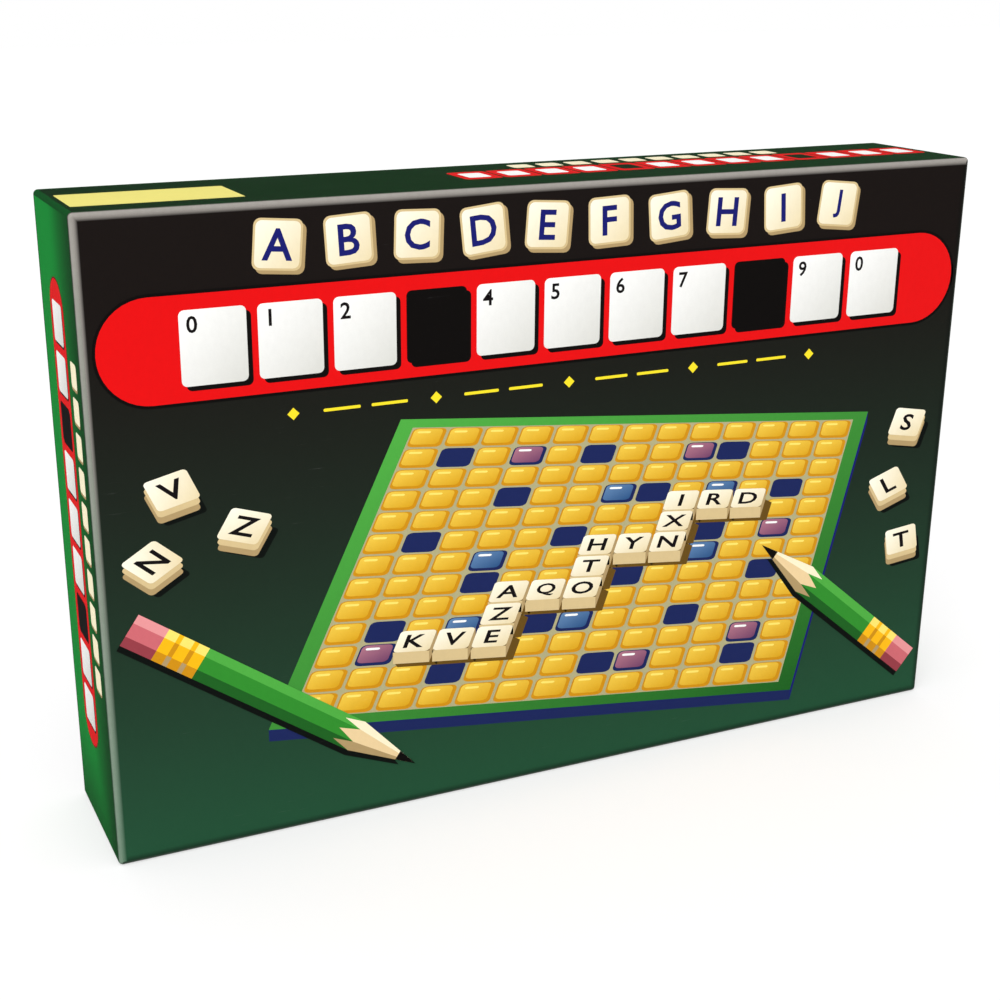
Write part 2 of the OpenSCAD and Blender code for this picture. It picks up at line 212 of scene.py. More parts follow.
def tile_tint(centre: Point, size: float) -> Tint:
    """Ink of a drawn tile's face, lit from the upper left."""
    return slanted(centre, size, Shade.TILE_SHINE.linear, Shade.TILE_DUSK.linear)


class ShaderBench:
    """Adds and joins the nodes of one tree."""

    def __init__(self, tree: NodeTree) -> None:
        """Keeps the tree to work on."""
        self.tree = tree

    def add(self, kind: str, values: dict | None = None, **settings: object) -> Node:
        """Adds a node.

        Args:
            kind: Node type.
            values: Default values of input sockets, by name or index.
            settings: Properties of the node itself.

        Returns:
            The new node.
        """
        node = self.tree.nodes.new(kind)
        for name, value in settings.items():
            setattr(node, name, value)
        for name, value in (values or {}).items():
            node.inputs[name].default_value = value
        return node

    def join(self, source: NodeSocket, target: NodeSocket) -> None:
        """Links one socket to another."""
        self.tree.links.new(source, target)

    def feed(self, value: Feed, target: NodeSocket) -> None:
        """Links a socket to an input, or sets the input to a number or a colour.

        Args:
            value: Socket, number or colour.
            target: Input socket.
        """
        if isinstance(value, NodeSocket):
            self.join(value, target)
        else:
            target.default_value = value if isinstance(value, (int, float)) else (*value, 1.0)

    def maths(self, operation: str, first: Feed, second: Feed, clamp: bool = False) -> NodeSocket:
        """Adds a Math node.

        Args:
            operation: What the node works out.
            first: A socket or a number.
            second: A socket or a number.
            clamp: Whether the result is held between 0 and 1.

        Returns:
            The node's result.
        """
        node = self.add("ShaderNodeMath", operation=operation, use_clamp=clamp)
        self.feed(first, node.inputs[0])
        self.feed(second, node.inputs[1])
        return node.outputs[0]

    def ramp(self, value: NodeSocket, source: Point, result: Point) -> NodeSocket:
        """Maps a value from one range to another, held at the ends.

        Args:
            value: Socket to map.
            source: Range that comes in.
            result: Range that goes out.

        Returns:
            The mapped socket.
        """
        node = self.add("ShaderNodeMapRange", {1: source[0], 2: source[1], 3: result[0], 4: result[1]})
        self.join(value, node.inputs[0])
        return node.outputs[0]

    def blend(self, share: Feed, first: Feed, second: Feed, mode: str = "MIX") -> NodeSocket:
        """Blends two colours.

        Args:
            share: Socket or number for the second colour's share.
            first: Socket or colour.
            second: Socket or colour.
            mode: How the colours combine.

        Returns:
            The blended colour.
        """
        node = self.add("ShaderNodeMix", data_type="RGBA", blend_type=mode)
        for index, value in ((0, share), (6, first), (7, second)):
            self.feed(value, node.inputs[index])
        return node.outputs[2]

    def surface(self, share: NodeSocket, first: NodeSocket, second: NodeSocket) -> None:
        """Gives the material's output a mix of two shaders.

        Args:
            share: The second shader's share.
            first: One shader.
            second: The other shader.
        """
        node = self.add("ShaderNodeMixShader")
        for source, target in zip((share, first, second), node.inputs):
            self.join(source, target)
        self.join(node.outputs[0], self.tree.nodes["Material Output"].inputs["Surface"])


class EffectBench(ShaderBench):
    """Builds one shared shader group on the vector that it is given."""

    fibre_stretch: Spot = (1.0, 1.0, 0.6)
    fibre_turn: Spot = (0.3, 0.2, 0.4)
    fibre_level: float = 0.75
    tooth_fineness: float = 3.1
    tooth_share: float = 0.5
    streak_stretch: Spot = (30.0, 30.0, 420.0)
    streak_turn: Spot = (0.5, 0.9, 0.2)
    streak_scale: float = 3.0
    streak_edge: Point = (0.66, 0.74)
    patch_scale: float = 26.0
    patch_edge: Point = (0.45, 0.65)
    smudge_edge: Point = (0.3, 0.7)
    flow_scale: float = 38.0
    flow_level: float = 0.5
    flow_share: float = 0.6
    _built: dict[Effect, NodeTree] = {}

    @classmethod
    def group(cls, effect: Effect) -> NodeTree:
        """Gives an effect's group, built on its first use.

        Args:
            effect: Which effect.

        Returns:
            The group.
        """
        if effect not in cls._built:
            bench = cls(bpy.data.node_groups.new(effect.value, "ShaderNodeTree"))
            builders = {
                Effect.PAPER_FIBRE: bench.paper_fibre,
                Effect.HANDLING: bench.handling,
                Effect.MOULDED_SKIN: bench.moulded_skin,
            }
            builders[effect]()
            cls._built[effect] = bench.tree
        return cls._built[effect]

    def start(self, inputs: dict[str, float], outputs: Iterable[str]) -> None:
        """Makes the group's sockets.

        Args:
            inputs: Default of each value input.
            outputs: Names of the value outputs.
        """
        sockets = self.tree.interface
        sockets.new_socket("Vector", in_out="INPUT", socket_type="NodeSocketVector")
        for label, value in inputs.items():
            sockets.new_socket(label, in_out="INPUT", socket_type="NodeSocketFloat").default_value = value
        for label in outputs:
            sockets.new_socket(label, in_out="OUTPUT", socket_type="NodeSocketFloat")
        self.given = self.add("NodeGroupInput").outputs
        self.result = self.add("NodeGroupOutput").inputs

    def noise(self, place: NodeSocket, scale: Feed, **values: float) -> NodeSocket:
        """Adds a noise.

        Args:
            place: Vector that it reads.
            scale: Its scale.
            values: Its other inputs.

        Returns:
            The noise's value.
        """
        node = self.add("ShaderNodeTexNoise", values)
        self.join(place, node.inputs["Vector"])
        self.feed(scale, node.inputs["Scale"])
        return node.outputs[0]

    def stretched(self, scale: Spot, turn: Spot) -> NodeSocket:
        """Stretches and turns the given vector.

        Args:
            scale: Stretch along each axis.
            turn: Turn about each axis.

        Returns:
            The new vector.
        """
        node = self.add("ShaderNodeMapping", {"Scale": scale, "Rotation": turn})
        self.join(self.given["Vector"], node.inputs["Vector"])
        return node.outputs["Vector"]

    def tone(self, value: NodeSocket, middle: float) -> None:
        """Puts out a tone that swings about 1 with a value, by the given depth."""
        swing = self.maths("MULTIPLY", self.maths("SUBTRACT", value, middle), self.given["Depth"])
        self.join(self.maths("ADD", swing, 1.0), self.result["Tone"])

    def paper_fibre(self) -> None:
        """Long soft fibres and fine tooth, as tone and height."""
        self.start({"Scale": 900.0, "Depth": 0.5}, ("Tone", "Height"))
        along = self.stretched(self.fibre_stretch, self.fibre_turn)
        fibre = self.noise(along, self.given["Scale"], Detail=3.0, Roughness=0.6)
        fine = self.maths("MULTIPLY", self.given["Scale"], self.tooth_fineness)
        tooth = self.noise(self.given["Vector"], fine, Detail=2.0, Roughness=0.7)
        height = self.maths("ADD", fibre, self.maths("MULTIPLY", tooth, self.tooth_share))
        self.tone(height, self.fibre_level)
        self.join(height, self.result["Height"])

    def handling(self) -> None:
        """Fine rubbed streaks and smudges from handling, as a mask and a roughness change."""
        self.start({"Amount": 0.5}, ("Streaks", "Smudge"))
        along = self.stretched(self.streak_stretch, self.streak_turn)
        streak = self.noise(along, self.streak_scale, Detail=5.0, Roughness=0.7)
        patch = self.noise(self.given["Vector"], self.patch_scale, Detail=3.0, Roughness=0.55)
        thin = self.ramp(streak, self.streak_edge, (0.0, 1.0))
        worn = self.maths("MULTIPLY", thin, self.ramp(patch, self.patch_edge, (0.0, 1.0)))
        soft = self.ramp(patch, self.smudge_edge, (-0.5, 0.5))
        for label, mask in (("Streaks", worn), ("Smudge", soft)):
            self.join(self.maths("MULTIPLY", mask, self.given["Amount"]), self.result[label])

    def moulded_skin(self) -> None:
        """Slight flow marks and a fine spark-eroded texture, as tone and height."""
        self.start({"Scale": 1400.0, "Depth": 0.06}, ("Tone", "Height"))
        place = self.given["Vector"]
        flow = self.noise(place, self.flow_scale, Detail=4.0, Roughness=0.5, Distortion=0.8)
        grain = self.noise(place, self.given["Scale"], Detail=2.0, Roughness=0.6)
        self.tone(flow, self.flow_level)
        waves = self.maths("MULTIPLY", flow, self.flow_share)
        self.join(self.maths("ADD", waves, grain), self.result["Height"])


@dataclass(frozen=True)
class Finish:
    """One surface finish. Each material is made once and then shared."""

    name: str
    roughness: float = 0.4

    def material(self) -> Material:
        """Gives this finish's material, made on first use.

        Returns:
            The material.
        """
        label = f"{self.name}_finish"
        made = bpy.data.materials.get(label)
        if made is None:
            made = bpy.data.materials.new(label)
            made.use_nodes = True
            self.wire(ShaderBench(made.node_tree), made.node_tree.nodes["Principled BSDF"])
        return made

    def wire(self, bench: ShaderBench, skin: Node) -> None:
        """Sets up the surface shader; each finish has its own way."""
        raise NotImplementedError

    @staticmethod
    def fix(skin: Node, values: dict[str, object]) -> None:
        """Sets constants on the shader's own sockets."""
        for label, value in values.items():
            skin.inputs[label].default_value = value

    @staticmethod
    def effect(bench: ShaderBench, effect: Effect, **values: float) -> Node:
        """Places a shared effect on Object coordinates.

        Args:
            bench: Bench of the material.
            effect: Which effect.
            values: Values of the effect's inputs.

        Returns:
            The group node.
        """
        place = bench.add("ShaderNodeTexCoord")
        node = bench.add("ShaderNodeGroup", node_tree=EffectBench.group(effect))
        Finish.fix(node, values)
        bench.join(place.outputs["Object"], node.inputs["Vector"])
        return node

    def rubbed(self, bench: ShaderBench, skin: Node, amount: float, smudge: float) -> NodeSocket:
        """Varies the shader's roughness with marks of handling.

        Args:
            bench: Bench of the material.
            skin: The surface shader.
            amount: How strong the marks are.
            smudge: Largest change of the roughness.

        Returns:
            Mask of the rubbed streaks.
        """
        marks = self.effect(bench, Effect.HANDLING, Amount=amount)
        change = bench.maths("MULTIPLY", marks.outputs["Smudge"], smudge)
        bench.join(bench.maths("ADD", change, self.roughness, True), skin.inputs["Roughness"])
        return marks.outputs["Streaks"]

    @staticmethod
    def toned(bench: ShaderBench, colour: Feed, tone: NodeSocket) -> NodeSocket:
        """Multiplies a colour by a tone that varies over the surface.

        Args:
            bench: Bench of the material.
            colour: Socket or colour.
            tone: Tone about 1.

        Returns:
            The toned colour.
        """
        grey = bench.add("ShaderNodeCombineColor")
        for socket in grey.inputs:
            bench.join(tone, socket)
        return bench.blend(1.0, colour, grey.outputs[0], "MULTIPLY")

    @staticmethod
    def bump(bench: ShaderBench, skin: Node, height: NodeSocket, strength: float, depth: float) -> None:
        """Feeds a height to the shader's normal.

        Args:
            bench: Bench of the material.
            skin: The surface shader.
            height: Height from 0 to 1.
            strength: Share of the bump that shows.
            depth: Height of the bump in metres.
        """
        node = bench.add("ShaderNodeBump", {"Strength": strength, "Distance": depth})
        bench.join(height, node.inputs["Height"])
        bench.join(node.outputs[0], skin.inputs["Normal"])


@dataclass(frozen=True)
class LaminatedPrint(Finish):
    """Printed paper under a clear film. The ink comes from the mesh, and worn folds show bare paper."""

    coat: float = 0.04
    wear: float = 0.08
    sheen: float = 0.08
    streak: float = 0.06
    tooth: float = 0.03 * MM
    tooth_share: float = 0.10
    fibre_scale: float = 700.0
    fibre_depth: float = 0.08
    bare_edge: Point = (0.55, 0.95)
    bare_least: float = 0.55
    handling: float = 0.5
    smudge: float = 0.12
    film_roughness: float = 0.25

    def wire(self, bench: ShaderBench, skin: Node) -> None:
        """Joins ink, paper tooth, handling marks and worn folds.

        Args:
            bench: Bench of the material.
            skin: The surface shader.
        """
        ink = bench.add("ShaderNodeVertexColor", layer_name=INK)
        fold = bench.add("ShaderNodeAttribute", attribute_name=WEAR)
        fibre = self.effect(bench, Effect.PAPER_FIBRE, Scale=self.fibre_scale, Depth=self.fibre_depth)
        streaks = self.rubbed(bench, skin, self.handling, self.smudge)
        colour = self.toned(bench, ink.outputs["Color"], fibre.outputs["Tone"])
        patchy = bench.ramp(fibre.outputs["Height"], self.bare_edge, (self.bare_least, 1.0))
        worn = bench.maths("MULTIPLY", bench.maths("MULTIPLY", fold.outputs["Fac"], patchy), self.wear)
        colour = bench.blend(worn, colour, Shade.PAPER.linear)
        colour = bench.blend(bench.maths("MULTIPLY", streaks, self.streak), colour, Shade.WHITE.linear)
        bench.join(colour, skin.inputs["Base Color"])
        self.fix(skin, {
            "Specular IOR Level": self.sheen, "Coat Weight": self.coat, "Coat Roughness": self.film_roughness,
        })
        self.bump(bench, skin, fibre.outputs["Height"], self.tooth_share, self.tooth)


@dataclass(frozen=True)
class PlainPaper(Finish):
    """Uncoated paper: dull, with fibres."""

    shade: Shade = Shade.PAPER
    scale: float = 900.0
    depth: float = 0.08
    relief: float = 0.03 * MM
    relief_share: float = 0.5
    sheen: float = 0.25
    handling: float = 0.6
    smudge: float = 0.15

    def wire(self, bench: ShaderBench, skin: Node) -> None:
        """Joins fibres, tone and a matt surface.

        Args:
            bench: Bench of the material.
            skin: The surface shader.
        """
        fibre = self.effect(bench, Effect.PAPER_FIBRE, Scale=self.scale, Depth=self.depth)
        self.rubbed(bench, skin, self.handling, self.smudge)
        colour = self.toned(bench, self.shade.linear, fibre.outputs["Tone"])
        bench.join(colour, skin.inputs["Base Color"])
        self.fix(skin, {"Specular IOR Level": self.sheen})
        self.bump(bench, skin, fibre.outputs["Height"], self.relief_share, self.relief)


@dataclass(frozen=True)
class MouldedPlastic(Finish):
    """Moulded or formed plastic, with flow marks, a fine texture and rubbed patches."""

    shade: Shade = Shade.IVORY
    mottle: float = 0.12
    relief: float = 0.02 * MM
    streak: float = 0.08
    glow: float = 0.0
    glow_reach: Spot = (0.6 * MM, 0.5 * MM, 0.4 * MM)
    relief_share: float = 0.35
    handling: float = 0.6
    smudge: float = 0.14

    def wire(self, bench: ShaderBench, skin: Node) -> None:
        """Joins body colour, flow marks and a lightly rubbed gloss.

        Args:
            bench: Bench of the material.
            skin: The surface shader.
        """
        marks = self.effect(bench, Effect.MOULDED_SKIN, Depth=self.mottle)
        streaks = self.rubbed(bench, skin, self.handling, self.smudge)
        colour = self.toned(bench, self.shade.linear, marks.outputs["Tone"])
        colour = bench.blend(bench.maths("MULTIPLY", streaks, self.streak), colour, Shade.WHITE.linear)
        bench.join(colour, skin.inputs["Base Color"])
        self.fix(skin, {
            "Subsurface Weight": self.glow, "Subsurface Radius": self.glow_reach, "Subsurface Scale": 1.0,
        })
        self.bump(bench, skin, marks.outputs["Height"], self.relief_share, self.relief)


@dataclass(frozen=True)
class ClearPlastic(Finish):
    """Clear moulded sheet that lets light through to the print below."""

    bend: float = 1.22
    gloss: float = 1.0
    body: Colour = (0.97, 0.985, 0.985)
    shadow: Colour = (0.94, 0.96, 0.96)
    handling: float = 0.5
    smudge: float = 0.05
    gloss_roughness: float = 0.03

    def wire(self, bench: ShaderBench, skin: Node) -> None:
        """Makes the shader clear, and lets shadow rays pass.

        Args:
            bench: Bench of the material.
            skin: The surface shader.
        """
        self.rubbed(bench, skin, self.handling, self.smudge)
        self.fix(skin, {
            "Base Color": (*self.body, 1.0), "Transmission Weight": 1.0, "IOR": self.bend,
            "Coat Weight": self.gloss, "Coat Roughness": self.gloss_roughness,
        })
        rays = bench.add("ShaderNodeLightPath")
        through = bench.add("ShaderNodeBsdfTransparent", {"Color": (*self.shadow, 1.0)})
        bench.surface(rays.outputs["Is Shadow Ray"], skin.outputs[0], through.outputs[0])


LID_PRINT = LaminatedPrint("lid_print", 0.42)
BOARD_PRINT = LaminatedPrint("board_print", 0.45, coat=0.1, wear=0.0)
MARKING = LaminatedPrint("marking_ink", 0.4, coat=0.0, wear=0.0)
BASE_WRAP = LaminatedPrint("base_wrap", 0.5, coat=0.1, wear=0.4)
LEAFLET_PAPER = PlainPaper("leaflet_paper", 0.75)
TRAY_SHEET = MouldedPlastic("tray_sheet", 0.32, Shade.SHEET_WHITE, 0.06, 0.05 * MM)
FRAME_PLASTIC = MouldedPlastic("frame_plastic", 0.28, Shade.FRAME_BLUE, 0.14)
TILE_PLASTIC = MouldedPlastic("tile_plastic", 0.36, Shade.IVORY, 0.10, glow=0.15)
RACK_PLASTIC = MouldedPlastic("rack_plastic", 0.30, Shade.RACK_MID, 0.14)
POINTER_PLASTIC = MouldedPlastic("pointer_plastic", 0.28, Shade.POINTER_YELLOW, 0.10)
STRIP_PLASTIC = MouldedPlastic("strip_plastic", 0.4, Shade.STRIP_WHITE, 0.06)
CLEAR_PLASTIC = ClearPlastic("clear_plastic", 0.04)


@contextmanager
def reworked(mesh: Mesh) -> Iterator[bmesh.types.BMesh]:
    """Opens a mesh for work on its faces and writes the result back.

    Args:
        mesh: Mesh to change.

    Yields:
        The mesh's editable form.
    """
    form = bmesh.new()
    form.from_mesh(mesh)
    yield form
    form.to_mesh(mesh)
    form.free()


def evaluated(holder: Object) -> Mesh:
    """Gives an object's shape, with its modifiers, as a new plain mesh."""
    view = bpy.context.evaluated_depsgraph_get()
    return bpy.data.meshes.new_from_object(holder.evaluated_get(view))


def linked(name: str, data: ID) -> Object:
    """Makes an object and puts it in the scene.

    Args:
        name: The object's name.
        data: Its mesh, curve, camera or lamp.

    Returns:
        The new object.
    """
    thing = bpy.data.objects.new(name, data)
    bpy.context.scene.collection.objects.link(thing)
    return thing


def settled(mesh: Mesh) -> Mesh:
    """Smooths a mesh's shading so that flat faces stay flat beside rounded edges.

    Args:
        mesh: Mesh to shade; it is used up.

    Returns:
        A new mesh with weighted normals.
    """
    for polygon in mesh.polygons:
        polygon.use_smooth = True
    holder = linked("shading", mesh)
    holder.modifiers.new("weights", "WEIGHTED_NORMAL").keep_sharp = True
    shaded = evaluated(holder)
    bpy.data.objects.remove(holder)
    bpy.data.meshes.remove(mesh)
    return shaded


def add_piece(name: str, mesh: Mesh, finish: Finish, body: str, slot: str, *nodes: str) -> None:
    """Puts a finished mesh on its body.

    Args:
        name: The piece's name.
        mesh: Mesh in the part's frame, in metres.
        finish: Surface finish.
        body: Body that carries the piece.
        slot: Material slot of the record; not used.
        nodes: Nodes that the piece stands for.
    """
    mesh.name = name
    mesh.materials.clear()
    mesh.materials.append(finish.material())
    piece = linked(name, mesh)
    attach(piece, body)
    if nodes:
        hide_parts(*nodes)
    log.info("%s: %d faces on %s", name, len(mesh.polygons), body)


def dress_node(node: str, finish: Finish) -> None:
    """Gives a node that stays as it is its finish.

    Args:
        node: Name of the node.
        finish: Surface finish.
    """
    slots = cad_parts[node].data.materials
    slots.clear()
    slots.append(finish.material())
    log.info("%s: %s", node, finish.name)


def softened(node: str, width: float, segments: int = 2, shown_only: bool = False) -> Mesh:
    """Copies a node's mesh and rounds its sharp edges as a mould or a forming tool does.

    Args:
        node: Node to copy.
        width: Width of the rounding in metres.
        segments: Facets across the rounding.
        shown_only: Leave the edges of faces that look into the box sharp.

    Returns:
        The rounded mesh.
    """
    form = bmesh.new()
    form.from_mesh(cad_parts[node].data)
    bmesh.ops.remove_doubles(form, verts=form.verts, dist=WELD)
    bmesh.ops.dissolve_limit(form, angle_limit=FLAT_TURN, verts=form.verts, edges=form.edges)
    edges = [edge for edge in form.edges if edge.calc_face_angle(0.0) > SHARP_TURN]
    if shown_only:
        for edge in edges:
            edge.smooth = max(face.normal.y for face in edge.link_faces) < BACK_FACING
        edges = [edge for edge in edges if edge.smooth]
    bmesh.ops.bevel(
        form, geom=edges, offset=width, segments=segments, profile=0.5, affect="EDGES", clamp_overlap=True
    )
    mesh = bpy.data.meshes.new(node)
    form.to_mesh(mesh)
    form.free()
    return settled(mesh)


def spread(count: int, pitch: float, middle: float) -> list[float]:
    """Even places along a row about its middle."""
    return [middle + (step - (count - 1) / 2) * pitch for step in range(count)]


def rounded_loop(width: float, height: float, radius: float, steps: int) -> list[Point]:
    """Points round a rectangle with rounded corners, centred on the origin.

    Args:
        width: Size across.
        height: Size up.
        radius: Corner radius.
        steps: Points less one on each corner.

    Returns:
        Points in order, anticlockwise.
    """
    points = []
    for across, up, first in ((1, 1, 0.0), (-1, 1, 90.0), (-1, -1, 180.0), (1, -1, 270.0)):
        middle = (across * (width / 2 - radius), up * (height / 2 - radius))
        turns = [math.radians(first + 90.0 * step / steps) for step in range(steps + 1)]
        points += [(middle[0] + radius * math.cos(a), middle[1] + radius * math.sin(a)) for a in turns]
    return points


def block(centre: Point, width: float, height: float, radius: float, steps: int = 4) -> list[Point]:
    """Points round a rounded rectangle about a centre."""
    return [(centre[0] + u, centre[1] + v) for u, v in rounded_loop(width, height, radius, steps)]


def rectangle(low: Point, high: Point) -> list[Point]:
    """Corners of a rectangle, anticlockwise from the lower left."""
    return [low, (high[0], low[1]), high, (low[0], high[1])]


def disc(centre: Point, radius: float, sides: int) -> list[Point]:
    """Points round a circle, anticlockwise."""
    turns = [math.tau * step / sides for step in range(sides)]
    return [(centre[0] + radius * math.cos(a), centre[1] + radius * math.sin(a)) for a in turns]


def signed_area(points: Sequence[Point]) -> float:
    """Area of an outline, below zero where it runs clockwise."""
    pairs = zip(points, [*points[1:], points[0]])
    return sum(x0 * y1 - x1 * y0 for (x0, y0), (x1, y1) in pairs) / 2


def turned(centre: Point, degrees: float, squash: float = 1.0) -> Place:
    """Turns a shape about its origin, flattens it and sets it on a centre.

    Args:
        centre: Where the origin goes.
        degrees: Turn, anticlockwise.
        squash: Share of the height that is left after the turn.

    Returns:
        A function from the shape to the picture.
    """
    turn = Matrix.Rotation(math.radians(degrees), 2)

    def place(u: float, v: float) -> Point:
        """Picture point of a point of the shape."""
        flat = turn @ Vector((u, v))
        return centre[0] + flat.x, centre[1] + squash * flat.y

    return place


def plane_view(corners: Sequence[Point]) -> Place:
    """Perspective view of a unit square on a quadrilateral.

    Args:
        corners: Where the square's corners (0, 0), (1, 0), (1, 1) and (0, 1) go.

    Returns:
        A function from the square to the picture.
    """
    start, across, far, up = (Vector(corner) for corner in corners)
    right, left, skew = across - far, up - far, start - across + far - up
    size = right.cross(left)
    lean_across, lean_up = skew.cross(left) / size, right.cross(skew) / size
    run = across - start + lean_across * across
    rise = up - start + lean_up * up

    def place(s: float, t: float) -> Point:
        """Picture point of a place on the square."""
        spot = (run * s + rise * t + start) / (lean_across * s + lean_up * t + 1.0)
        return spot.x, spot.y

    return place


def lofted(rings: Sequence[Sequence[Vector]], open_start: bool = False) -> Mesh:
    """Skins a row of rings and closes the ends.

    Args:
        rings: Rings of equal length, from the first cap to the last.
        open_start: Whether the first ring stays open.

    Returns:
        The mesh, with its points in the order of the rings.
    """
    count = len(rings[0])
    verts = [point for ring in rings for point in ring]
    faces = [tuple(range(count))[::-1], tuple(range(len(verts) - count, len(verts)))]
    for low in range(0, len(verts) - count, count):
        for step in range(count):
            ahead = (step + 1) % count
            faces.append((low + step, low + ahead, low + count + ahead, low + count + step))
    mesh = bpy.data.meshes.new("loft")
    mesh.from_pydata(verts, [], faces)
    with reworked(mesh) as form:
        bmesh.ops.recalc_face_normals(form, faces=form.faces)
        if open_start:
            form.faces.ensure_lookup_table()
            bmesh.ops.delete(form, geom=[form.faces[0]], context="FACES_ONLY")
    return mesh


def inked(mesh: Mesh, inks: Iterable[Colour]) -> Mesh:
    """Gives each point of a mesh its ink.

    Args:
        mesh: Mesh to colour.
        inks: One ink for each point.

    Returns:
        The same mesh.
    """
    layer = mesh.color_attributes.new(INK, "FLOAT_COLOR", "POINT")
    for point, colour in zip(layer.data, inks):
        point.color = (*colour, 1.0)
    return mesh


class Glyphs:
    """Outlines of single letters and digits, one unit high and centred."""

    weight: float = 0.018
    curve_steps: int = 3
    least_area: float = 1e-7
    _known: dict[str, tuple[list[Point], list[tuple[int, ...]]]] = {}

    @classmethod
    def outline(cls, character: str) -> tuple[list[Point], list[tuple[int, ...]]]:
        """Gives a character as flat points and faces, drawn on first use.

        Args:
            character: One letter or digit.

        Returns:
            Points, and faces as indices into them.
        """
        if character not in cls._known:
            curve = bpy.data.curves.new("glyph", "FONT")
            curve.body = character
            curve.offset = cls.weight
            curve.resolution_u = cls.curve_steps
            holder = linked("glyph", curve)
            mesh = evaluated(holder)
            xs = [v.co.x for v in mesh.vertices]
            ys = [v.co.y for v in mesh.vertices]
            size = max(ys) - min(ys)
            middle = ((max(xs) + min(xs)) / 2, (max(ys) + min(ys)) / 2)
            points = [((x - middle[0]) / size, (y - middle[1]) / size) for x, y in zip(xs, ys)]
            faces = [tuple(p.vertices) for p in mesh.polygons if p.area > cls.least_area]
            cls._known[character] = (points, faces)
            bpy.data.objects.remove(holder)
            bpy.data.meshes.remove(mesh)
            bpy.data.curves.remove(curve)
        return cls._known[character]


@dataclass
class InkSheet:
    """Flat print made of coloured shapes in layers, each a hair above the one below."""

    origin: Vector
    across: Vector = field(default_factory=lambda: Vector((1, 0, 0)))
    up: Vector = field(default_factory=lambda: Vector((0, 0, 1)))
    verts: list[Vector] = field(default_factory=list)
    faces: list[tuple[int, ...]] = field(default_factory=list)
    inks: list[Colour] = field(default_factory=list)

    def add(self, points: Sequence[Point], faces: Iterable[Sequence[int]], inks: Sequence[Colour],
            layer: Ply) -> None:
        """Adds a patch of faces, each turned to look out of the sheet.

        Args:
            points: Places on the sheet, in metres.
            faces: Faces as indices into the points.
            inks: Ink at each point.
            layer: Layer of the patch.
        """
        first = len(self.verts)
        lift = self.across.cross(self.up) * (HAIR * (layer + 1))
        self.verts += [self.origin + self.across * u + self.up * v + lift for u, v in points]
        self.inks += inks
        for face in faces:
            order = face if signed_area([points[index] for index in face]) > 0 else face[::-1]
            self.faces.append(tuple(first + index for index in order))

    def shape(self, points: Sequence[Point], ink: Shade | Tint, layer: Ply,
              place: Place | None = None) -> None:
        """Adds a filled outline.

        Args:
            points: The outline.
            ink: One shade, or a function from a point of the outline to its ink.
            layer: Layer of the shape.
            place: Where a point of the outline goes on the sheet.
        """
        placed = [place(u, v) for u, v in points] if place else list(points)
        inks = [ink.linear if isinstance(ink, Shade) else ink(u, v) for u, v in points]
        self.add(placed, [range(len(placed))], inks, layer)

    def glyph(self, character: str, centre: Point, height: float, ink: Shade, layer: Ply,
              place: Place | None = None) -> None:
        """Adds a single letter or digit.

        Args:
            character: What to draw.
            centre: Middle of the character.
            height: Its height.
            ink: Its shade.
            layer: Its layer.
            place: Where a point goes on the sheet.
        """
        points, faces = Glyphs.outline(character)
        drawn = [(centre[0] + u * height, centre[1] + v * height) for u, v in points]
        placed = [place(u, v) for u, v in drawn] if place else drawn
        self.add(placed, faces, [ink.linear] * len(placed), layer)

    def fade(self, low: Point, high: Point, ink_at: Tint, columns: int, rows: int) -> None:
        """Adds a ground whose ink changes over it.

        Args:
            low: Lower left corner.
            high: Upper right corner.
            ink_at: Ink at a place given as shares across and up.
            columns: Cells across.
            rows: Cells up.
        """
        shares = [(i / columns, j / rows) for j in range(rows + 1) for i in range(columns + 1)]
        points = [(low[0] + (high[0] - low[0]) * s, low[1] + (high[1] - low[1]) * t) for s, t in shares]
        starts = [j * (columns + 1) + i for j in range(rows) for i in range(columns)]
        faces = [(n, n + 1, n + columns + 2, n + columns + 1) for n in starts]
        self.add(points, faces, [ink_at(s, t) for s, t in shares], Ply.GROUND)

    def band(self, centre: Point, size: Point, corner: float, rim: float, rim_ink: Shade) -> None:
        """Adds a red band with a dark rim.

        Args:
            centre: Middle of the band.
            size: Its width and height.
            corner: Its corner radius.
            rim: Width of the rim.
            rim_ink: Shade of the rim.
        """
        steps = 10
        outer = block(centre, size[0] + 2 * rim, size[1] + 2 * rim, corner + rim, steps)
        self.shape(outer, rim_ink, Ply.EDGE)
        self.shape(block(centre, *size, corner, steps), Shade.SIGNAL_RED, Ply.BODY)

    def mesh(self) -> Mesh:
        """Gives the finished print as a mesh with its inks.

        Returns:
            The mesh.
        """
        made = bpy.data.meshes.new("print")
        made.from_pydata(self.verts, [], self.faces)
        return inked(made, self.inks)


